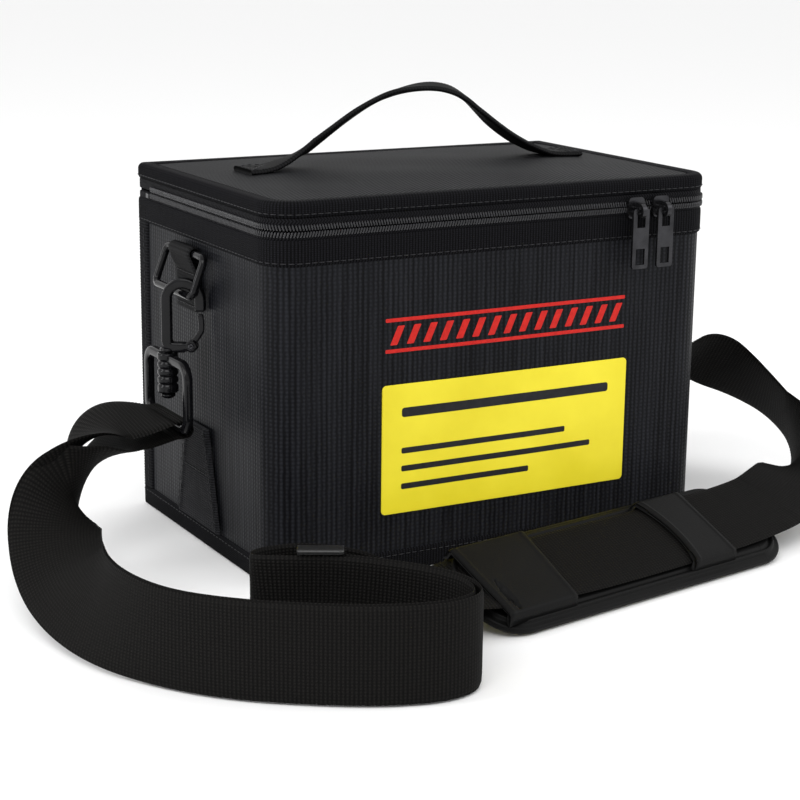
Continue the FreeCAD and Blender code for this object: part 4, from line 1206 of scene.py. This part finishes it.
# ---- Carry handle ------------------------------------------------------------------------------------
# A soft arch of doubled webbing on the lid, sewn flat to it at both ends. It twists a little as it
# rises, so its face turns towards the front over its top.
HANDLE_Y = sum(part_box("carry_handle")[k].y for k in (0, 1)) / 2
HANDLE_HALF_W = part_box("carry_handle")[1].y - HANDLE_Y
HANDLE_LINE = [
    (-0.0845, 0.1668), (-0.0775, 0.1670), (-0.0715, 0.1676), (-0.0651, 0.1697), (-0.0575, 0.1728),
    (-0.0505, 0.1764), (-0.0439, 0.1806), (-0.0296, 0.1896), (-0.0151, 0.1966), (-0.0026, 0.1996),
    (0.0091, 0.2008), (0.0183, 0.2000), (0.0265, 0.1972), (0.0349, 0.1915), (0.0473, 0.1816),
    (0.0585, 0.1745), (0.0686, 0.1698), (0.0755, 0.1676), (0.0835, 0.1669), (0.0915, 0.1668),
]
HANDLE_TWIST = [
    (-0.0785, 0), (-0.0655, -8), (-0.0505, -26), (-0.0295, -22), (-0.0085, -14), (0.0065, -2),
    (0.0165, 6), (0.0265, 13), (0.0345, 14), (0.0465, 6), (0.0585, 2), (0.0715, 0),
]


def smooth_line(points):
    """A curve through all the listed points, each coordinate a Catmull-Rom spline."""
    points = np.array(points, float)
    padded = np.concatenate([2 * points[:1] - points[1:2], points, 2 * points[-1:] - points[-2:-1]])
    t = np.linspace(0, 1, 16, endpoint=False)[:, None]
    pieces = []
    for a, b, c, d in zip(padded, padded[1:], padded[2:], padded[3:]):
        square, cube = 2 * a - 5 * b + 4 * c - d, 3 * b - a - 3 * c + d
        pieces.append(0.5 * (2 * b + (c - a) * t + square * t**2 + cube * t**3))
    return np.concatenate([*pieces, points[-1:]])


line = smooth_line(HANDLE_LINE)
handle_line = even(np.column_stack([line[:, 0], np.full(len(line), HANDLE_Y), line[:, 1]]), 0.00038)
heading = np.gradient(handle_line, axis=0)
heading /= np.linalg.norm(heading, axis=1, keepdims=True)
lean = np.radians(np.interp(handle_line[:, 0], *zip(*HANDLE_TWIST)))
outwards = np.cross(heading, [0, 1.0, 0])
outwards *= np.sign(outwards[:, 2:])
handle_side = np.cos(lean)[:, None] * np.array([0, 1.0, 0]) + np.sin(lean)[:, None] * outwards
handle_part = webbing_part(handle_line, handle_side, HANDLE_HALF_W, 0.0024, 0.0015, 0.00014)
handle = put("handle_webbing", [handle_part], black_web)
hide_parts("carry_handle", "left_handle_anchor", "right_handle_anchor")
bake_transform(handle)

STITCH_HALF, STITCH_Z = 0.0075, 0.1682
anchor_rows = []
for x0, x1 in ((-0.0830, -0.0690), (0.0750, 0.0900)):
    a, b, c, d = ((x, HANDLE_Y + y, STITCH_Z) for x, y in (
        (x0, -STITCH_HALF), (x1, -STITCH_HALF), (x1, STITCH_HALF), (x0, STITCH_HALF)))
    for start, end in ((a, b), (b, c), (c, d), (d, a), (a, c), (d, b)):
        anchor_rows.append(straight_stitches(start, end, (0, 0, 1)))
anchor_seams = put("handle_stitching", anchor_rows, thread)
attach(anchor_seams, "lid")


# ---- Shoulder strap ----------------------------------------------------------------------------------
# One length of 38 mm ribbed polyester webbing. Its short ply is the end that turns back through the
# left loop to the three-bar slide, and the long ply goes on round the front to the right hook.
MM = 0.001
STRAP_HALF = 0.019
STRAP_T = 0.0014
RIB_PITCH = 0.0016
LONG_PLY = [
    ((-130.8, 2, 62.7), (0, 1, 0)),
    ((-143.5, 2, 63), (0.1, 0.9, 0.2)),
    ((-160.5, 2, 61), (0.35, 0.85, 0.2)),
    ((-176.5, -5, 50), (0.45, 0.85, -0.15)),
    ((-188.5, -18, 37), (0.8, 0.5, -0.2)),
    ((-195.5, -38, 26), (1, 0, 0.1)),
    ((-200.5, -64, 19), (0.9, -0.1, 0.45)),
    ((-203.5, -93, 19.2), (0.6, -0.05, 0.8)),
    ((-201.5, -122, 20), (0.25, 0, 0.95)),
    ((-191.5, -148, 20), (0, 0, 1)),
    ((-174.5, -169, 20), (0, 0, 1)),
    ((-152.5, -186, 20), (0, 0, 1)),
    ((-127.5, -201, 20), (0, 0, 1)),
    ((-103.5, -208, 20), (0, 0, 1)),
    ((-88.5, -202, 20), (0, 0, 1)),
    ((-87.5, -184, 20), (0, 0, 1)),
    ((-101.5, -166, 21), (0, 0, 1)),
    ((-121.5, -151, 22.5), (0, 0, 1)),
    ((-140.5, -141, 22.5), (0, 0, 1)),
    ((-149.5, -131, 21), (0, 0, 1)),
    ((-141.5, -121, 20), (0, 0, 1)),
    ((-119.5, -121, 20), (0, -0.15, 1)),
    ((-95.5, -132, 19.5), (0, -0.5, 0.8)),
]
RIGHT_RISE = [
    ((143.5, -101, 21), (-0.15, -0.95, -0.3)),
    ((172.5, -77, 22), (-0.45, -0.85, 0.1)),
    ((188.5, -52, 30), (-0.4, -0.88, 0.25)),
    ((189.5, -33, 41), (-0.3, -0.82, 0.45)),
    ((181.5, -17, 51), (-0.1, -0.75, 0.6)),
    ((168, -5, 60), (0.1, -0.6, 0.8)),
    ((148.5, 2, 63), (0, -0.9, 0.4)),
    ((130.8, 2, 62.7), (0, -1, 0)),
]
SHORT_PLY_DROP = [
    ((-130.8, 2, 55.7), (0, 1, 0)),
    ((-143.5, 2, 55.2), (0.1, 0.95, 0.1)),
    ((-160.5, -3, 49), (0.3, 0.9, 0.05)),
    ((-174.5, -13, 41), (0.66, 0.66, -0.2)),
]
PLY_GAP = 3
WIDE_GAPS = {4: 6.0, 5: 5.0, 6: 4.0}

PAD_TURN = math.radians(10)
PAD_TILT = math.radians(24)
PAD_L, PAD_W, PAD_T = 0.176, 0.052, 0.005
ALONG = np.array([math.cos(PAD_TURN), math.sin(PAD_TURN), 0])
PAD_SIDE = np.array([-math.sin(PAD_TURN) * math.cos(PAD_TILT), math.cos(PAD_TURN) * math.cos(PAD_TILT),
                     math.sin(PAD_TILT)])
PAD_OUT = np.cross(ALONG, PAD_SIDE)
PAD_AT = np.array([0.0245, -0.130, PAD_W / 2 * math.sin(PAD_TILT) + 0.0003])
PAD_STRAP_OUT = PAD_T + 0.0009 + STRAP_T / 2


def strap_routes():
    """Control points and width directions of both plies, in metres."""
    points = [np.array(p) * MM for p, _ in LONG_PLY]
    widths = [np.array(w, float) for _, w in LONG_PLY]
    for reach in (-PAD_L / 2 - 0.010, PAD_L / 2 - 0.004):
        points.append(PAD_AT + ALONG * reach + PAD_OUT * PAD_STRAP_OUT)
        widths.append(-PAD_SIDE)
    points += [np.array(p) * MM for p, _ in RIGHT_RISE]
    widths += [np.array(w, float) for _, w in RIGHT_RISE]
    short = [np.array(p) * MM for p, _ in SHORT_PLY_DROP]
    short_widths = [np.array(w, float) for _, w in SHORT_PLY_DROP]
    for i in range(4, 18):
        heading = points[i + 1] - points[i - 1]
        out = np.cross(heading, widths[i])
        short.append(points[i] + out / np.linalg.norm(out) * WIDE_GAPS.get(i, PLY_GAP) * MM)
        short_widths.append(widths[i])
    return points, widths, short, short_widths


def spline_line(points):
    """Closely spaced points along a smooth spline with these control points."""
    curve = bpy.data.curves.new("route", "CURVE")
    curve.dimensions = "3D"
    spline = curve.splines.new("NURBS")
    spline.points.add(len(points) - 1)
    for target, point in zip(spline.points, points):
        target.co = (*point, 1)
    spline.order_u = 3
    spline.use_endpoint_u = True
    spline.resolution_u = 24
    holder = bpy.data.objects.new("route", curve)
    mesh = bpy.data.meshes.new_from_object(holder)
    line = np.array([vertex.co for vertex in mesh.vertices])
    bpy.data.objects.remove(holder)
    bpy.data.curves.remove(curve)
    bpy.data.meshes.remove(mesh)
    return line


def strap_ply(name, points, widths, finish):
    """A ply of webbing along its spline. A second spline beside it carries the width direction."""
    unit = [w / np.linalg.norm(w) for w in widths]
    centre = spline_line(points)
    beside = spline_line([p + w * 0.01 for p, w in zip(points, unit)])
    both = even(np.column_stack([centre, beside - centre]), RIB_PITCH / 4)
    ply = webbing_part(both[:, :3], both[:, 3:], STRAP_HALF, STRAP_T, RIB_PITCH, 0.00014)
    piece = put(name, [ply], finish)
    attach(piece, "bag")
    return piece, both[:, :3]


strap_finish = webbing_finish("strap_webbing", RIB_PITCH, (0.001, 0.0009, 0.0009), (0.0092, 0.0086, 0.0079))
long_points, long_widths, short_points, short_widths = strap_routes()
long_ply, long_path = strap_ply("strap_long_ply", long_points, long_widths, strap_finish)
short_ply, short_path = strap_ply("strap_short_ply", short_points, short_widths, strap_finish)
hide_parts("strap_left_rise", "strap_front_run", "strap_back_run", "strap_pad_run",
            "strap_right_rise")
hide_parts("strap_return_rise", "strap_return_run")

wrap_low, wrap_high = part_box("left_strap_wrap")
WRAP_Z = (wrap_low.z + wrap_high.z) / 2
WRAP_RAD = (wrap_high.z - wrap_low.z) / 2 - STRAP_T / 2
wrap_x = wrap_high.x - WRAP_RAD - STRAP_T / 2
turn = np.linspace(math.pi / 2, -math.pi / 2, 20)
wrap_line = np.concatenate([
    [(wrap_low.x - 0.0012, WRAP_Z + WRAP_RAD)],
    np.column_stack([wrap_x + WRAP_RAD * np.cos(turn), WRAP_Z + WRAP_RAD * np.sin(turn)]),
    [(wrap_low.x - 0.0012, WRAP_Z - WRAP_RAD)],
])
wrap_line = np.column_stack([wrap_line[:, 0], np.full(len(wrap_line), SWIVEL[1]), wrap_line[:, 1]])
wrap_line = even(wrap_line, 0.0004)
wrap_part = webbing_part(wrap_line, np.array([0, 1.0, 0]), STRAP_HALF, STRAP_T, RIB_PITCH, 0.00014)
both_sides("wrap", [wrap_part], strap_finish, "bag", ["strap_wrap"], "strap_webbing")

slide_at = long_points[17] + (long_points[18] - long_points[17]) * 0.3
slide_run = (long_points[18] - long_points[17]) / np.linalg.norm(long_points[18] - long_points[17])
slide_out = np.cross(slide_run, UP)


def in_slide(line):
    """Points drawn along the strap, up, and out of the slide, placed in the frame."""
    line = np.array(line, float)
    return slide_at + line[:, :1] * slide_run + line[:, 1:2] * UP + line[:, 2:] * slide_out


def acetal_finish():
    finish, shader = new_finish("black_acetal", 0.32, specular=0.5)
    cloudy = speckle(shader, cloth_coordinate(shader, (900, 900, 900), kind="Object"), 1.0)
    tint(shader, cloudy, (0.008, 0.008, 0.008), (0.016, 0.016, 0.016))
    relief(shader, cloudy, 0.00006)
    return finish


slide_parts = []
for height in (-0.0205, 0.0205):
    line = even(in_slide([(-0.009, height, 0.002), (0.009, height, 0.002)]), 0.001)
    bar = sweep(line, UP, round_section(0.0011, 0.0036, 4.0, 20), swell=bar_ends(line, 0.001, 0.8))
    slide_parts.append(grid_part(bar, closed=(False, True), caps=True))
for at in (-0.0078, 0.0, 0.0078):
    line = even(in_slide([(at, -0.0212, 0.0049), (at, 0.0212, 0.0049)]), 0.0012)
    slide_parts.append(grid_part(sweep(line, slide_run, round_section(0.0012, 0.0007, 3.0, 16)),
                                 closed=(False, True), caps=True))
slide = put("strap_slide", slide_parts, acetal_finish())
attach(slide, "bag")
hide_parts("strap_adjuster")


# ---- Shoulder pad ------------------------------------------------------------------------------------
# A moulded rubber pad lies tilted on the ground in front of the bag. Its base has a raised rim and a
# ledge round it, and the strap runs under two saddles moulded on its upper face.
def rubber_finish():
    finish, shader = new_finish("moulded_rubber", 0.55, specular=0.1)
    grain = speckle(shader, cloth_coordinate(shader, (1600, 1600, 1600), kind="Object"), 1.0, 2.0)
    broad = speckle(shader, cloth_coordinate(shader, (60, 60, 60), kind="Object"), 1.0, 3.0)
    tint(shader, broad, (0.0018, 0.0018, 0.0018), (0.0042, 0.0042, 0.0042))
    vary_gloss(shader, broad, 0.42, 0.62)
    relief(shader, grain, 0.0001)
    return finish


def on_pad(points):
    """Points drawn along, across and out of the pad, placed in the frame."""
    return PAD_AT + points[..., :1] * ALONG + points[..., 1:2] * PAD_SIDE + points[..., 2:] * PAD_OUT


rubber = rubber_finish()
PAD_PROFILE = [
    (0.0016, 0.0000), (0.0004, 0.0003), (0.0000, 0.0010), (0.0000, 0.0026), (0.0003, 0.0031),
    (0.0010, 0.0033), (0.0026, 0.0034), (0.0030, 0.0037), (0.0032, 0.0046), (0.0035, 0.0050),
    (0.0042, 0.0051), (0.0047, 0.0049), (0.0050, 0.0044), (0.0056, 0.0043), (0.0062, 0.0044),
    (0.0066, 0.0048), (0.0072, 0.0049), (0.0090, 0.0049),
]
PAD_CORNER = 0.018
PAD_TOP = 0.0049
pad_outline = rounded_loop(-PAD_L / 2, -PAD_W / 2, PAD_L / 2, PAD_W / 2, PAD_CORNER, 17, 0.003)


def ring_at(inset, height):
    """The pad's outline moved in by inset, point for point the same as the outer one."""
    reach = np.array([PAD_L / 2 - PAD_CORNER, PAD_W / 2 - PAD_CORNER])
    middle = np.clip(pad_outline, -reach, reach)
    out = pad_outline - middle
    out = out / np.linalg.norm(out, axis=1, keepdims=True)
    return np.column_stack([pad_outline - out * inset, np.full(len(pad_outline), height)])


pad_levels = [(0.0178, 0.0), *PAD_PROFILE, (0.0178, PAD_TOP)]
pad_points = np.stack([ring_at(inset, height) for inset, height in pad_levels], 1)
spine_reach = np.array([PAD_L / 2 - PAD_CORNER, 0.00001])
spine = np.clip(pad_outline, -spine_reach, spine_reach)
first = np.column_stack([spine, np.zeros(len(spine))])[:, None]
last = np.column_stack([spine, np.full(len(spine), PAD_TOP)])[:, None]
pad_points = np.concatenate([first, pad_points, last], 1)
pad = put("pad_base_rubber", [grid_part(on_pad(pad_points), closed=(True, False), solid=True)], rubber)
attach(pad, "shoulder_pad")
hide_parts("pad_base")


def saddle(x0, x1, near_bow, far_lean, slit):
    """A bridge over the strap: a low arch across the pad, closed round the strap's opening.

    near_bow hollows its left end and far_lean slants its right end. slit is the depth of a lens-shaped
    groove near the left end.
    """
    v = np.linspace(-1, 1, 65)
    half = 0.0225
    fall = np.clip((np.abs(v) - 0.90) / 0.10, 0, 1)
    outer_h = 0.0099 - 0.0004 * np.abs(v) ** 8 - 0.0052 * fall**2.2
    inner_h = np.where(np.abs(v) > 0.985, 0.0047, 0.0081)
    u = np.linspace(0, 1, 57)
    start = x0 + near_bow * (1 - v**2)
    end = x1 + far_lean * v
    x = start[:, None] + (end - start)[:, None] * u
    across = np.broadcast_to(v[:, None], x.shape)
    from_end = np.minimum(u, 1 - u) * (x1 - x0)
    soft = np.sqrt(1 - (1 - np.clip(from_end / 0.0009, 0, 1)) ** 2)
    ridge = 0.0003 * np.exp(-(((from_end - 0.0022) / 0.0007) ** 2))
    lens_half = 0.0018 * np.clip(1 - ((across + 0.48) / 0.4) ** 2, 0.01, 1)
    lens = np.clip(1 - np.abs(x - x0 - 0.0062) / lens_half, 0, 1)
    height = outer_h[:, None] - 0.0009 * (1 - soft) + ridge * (1 - fall)[:, None]
    height = height - slit * np.clip(lens * 4, 0, 1)
    upper = np.stack([x, across * half, height], -1)
    lower = np.stack([x, across * 0.0198, np.broadcast_to(inner_h[:, None], x.shape)], -1)
    ring = np.transpose(np.concatenate([upper, lower[::-1]], 0), (1, 0, 2))
    return grid_part(on_pad(ring), closed=(False, True), caps=True)


SADDLES = {
    "left": (-0.082, -0.043, 0.0, 0.002, 0.0016),
    "right": (0.025, 0.052, 0.0045, 0.001, 0.0),
}
for name, shape in SADDLES.items():
    bridge = put("pad_" + name + "_saddle", [saddle(*shape)], rubber)
    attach(bridge, "shoulder_pad")
    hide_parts("pad_" + name + "_bridge")


# ---- Floor, lights and camera ------------------------------------------------------------------------
# A plain white floor, three large soft lights and a camera at the bag's left front, a little above it.
def floor_finish():
    finish, shader = new_finish("white_floor", 0.9, specular=0.1)
    shader.inputs["Base Color"].default_value = (0.92, 0.92, 0.92, 1)
    return finish


floor_mesh = bpy.data.meshes.new("floor")
floor_mesh.from_pydata([(-8, -8, 0), (8, -8, 0), (8, 8, 0), (-8, 8, 0)], [], [(0, 1, 2, 3)])
floor_mesh.materials.append(floor_finish())
floor = bpy.data.objects.new("floor", floor_mesh)
bpy.context.scene.collection.objects.link(floor)
floor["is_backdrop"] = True

world = bpy.data.worlds.new("studio")
world.use_nodes = True
world.node_tree.nodes["Background"].inputs["Color"].default_value = (1, 1, 1, 1)
world.node_tree.nodes["Background"].inputs["Strength"].default_value = 1.0
bpy.context.scene.world = world

BAG_MIDDLE = np.array([0, 0, 0.09])


def soft_light(name, place, size, power):
    """An area light that faces the middle of the bag."""
    light = bpy.data.lights.new(name, "AREA")
    light.shape = "RECTANGLE"
    light.size, light.size_y = size
    light.energy = power
    holder = bpy.data.objects.new(name, light)
    back = np.array(place) - BAG_MIDDLE
    back /= np.linalg.norm(back)
    right = np.cross([0, 0, 1.0], back)
    right /= np.linalg.norm(right)
    up = np.cross(back, right)
    rows = np.column_stack([right, up, back, place])
    holder.matrix_world = Matrix([*rows, (0, 0, 0, 1)])
    bpy.context.scene.collection.objects.link(holder)
    holder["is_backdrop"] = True


soft_light("key_light", (-0.9, -1.1, 1.5), (1.2, 0.9), 14)
soft_light("left_light", (-1.6, 0.2, 0.7), (0.5, 1.2), 11)
soft_light("right_light", (1.3, -1.0, 0.9), (0.6, 1.2), 6)

CAMERA_AT = (-0.4445, -0.777, 0.280)
CAMERA_YAW = math.radians(29.18)
CAMERA_PITCH = math.radians(14.12)
CAMERA_ROLL = math.radians(0.66)
forward = np.array([math.sin(CAMERA_YAW) * math.cos(CAMERA_PITCH),
                    math.cos(CAMERA_YAW) * math.cos(CAMERA_PITCH), -math.sin(CAMERA_PITCH)])
level = np.array([math.cos(CAMERA_YAW), -math.sin(CAMERA_YAW), 0])
upright = np.cross(level, forward)
right = math.cos(CAMERA_ROLL) * level + math.sin(CAMERA_ROLL) * upright
upright = -math.sin(CAMERA_ROLL) * level + math.cos(CAMERA_ROLL) * upright
camera_data = bpy.data.cameras.new("camera")
camera_data.sensor_width = 36
camera_data.lens = 87.48
camera_data.clip_start = 0.01
camera = bpy.data.objects.new("camera", camera_data)
camera.matrix_world = Matrix([*np.column_stack([right, upright, -forward, CAMERA_AT]), (0, 0, 0, 1)])
bpy.context.scene.collection.objects.link(camera)
bpy.context.scene.camera = camera
bpy.context.scene.view_settings.view_transform = "Standard"

low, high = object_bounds()
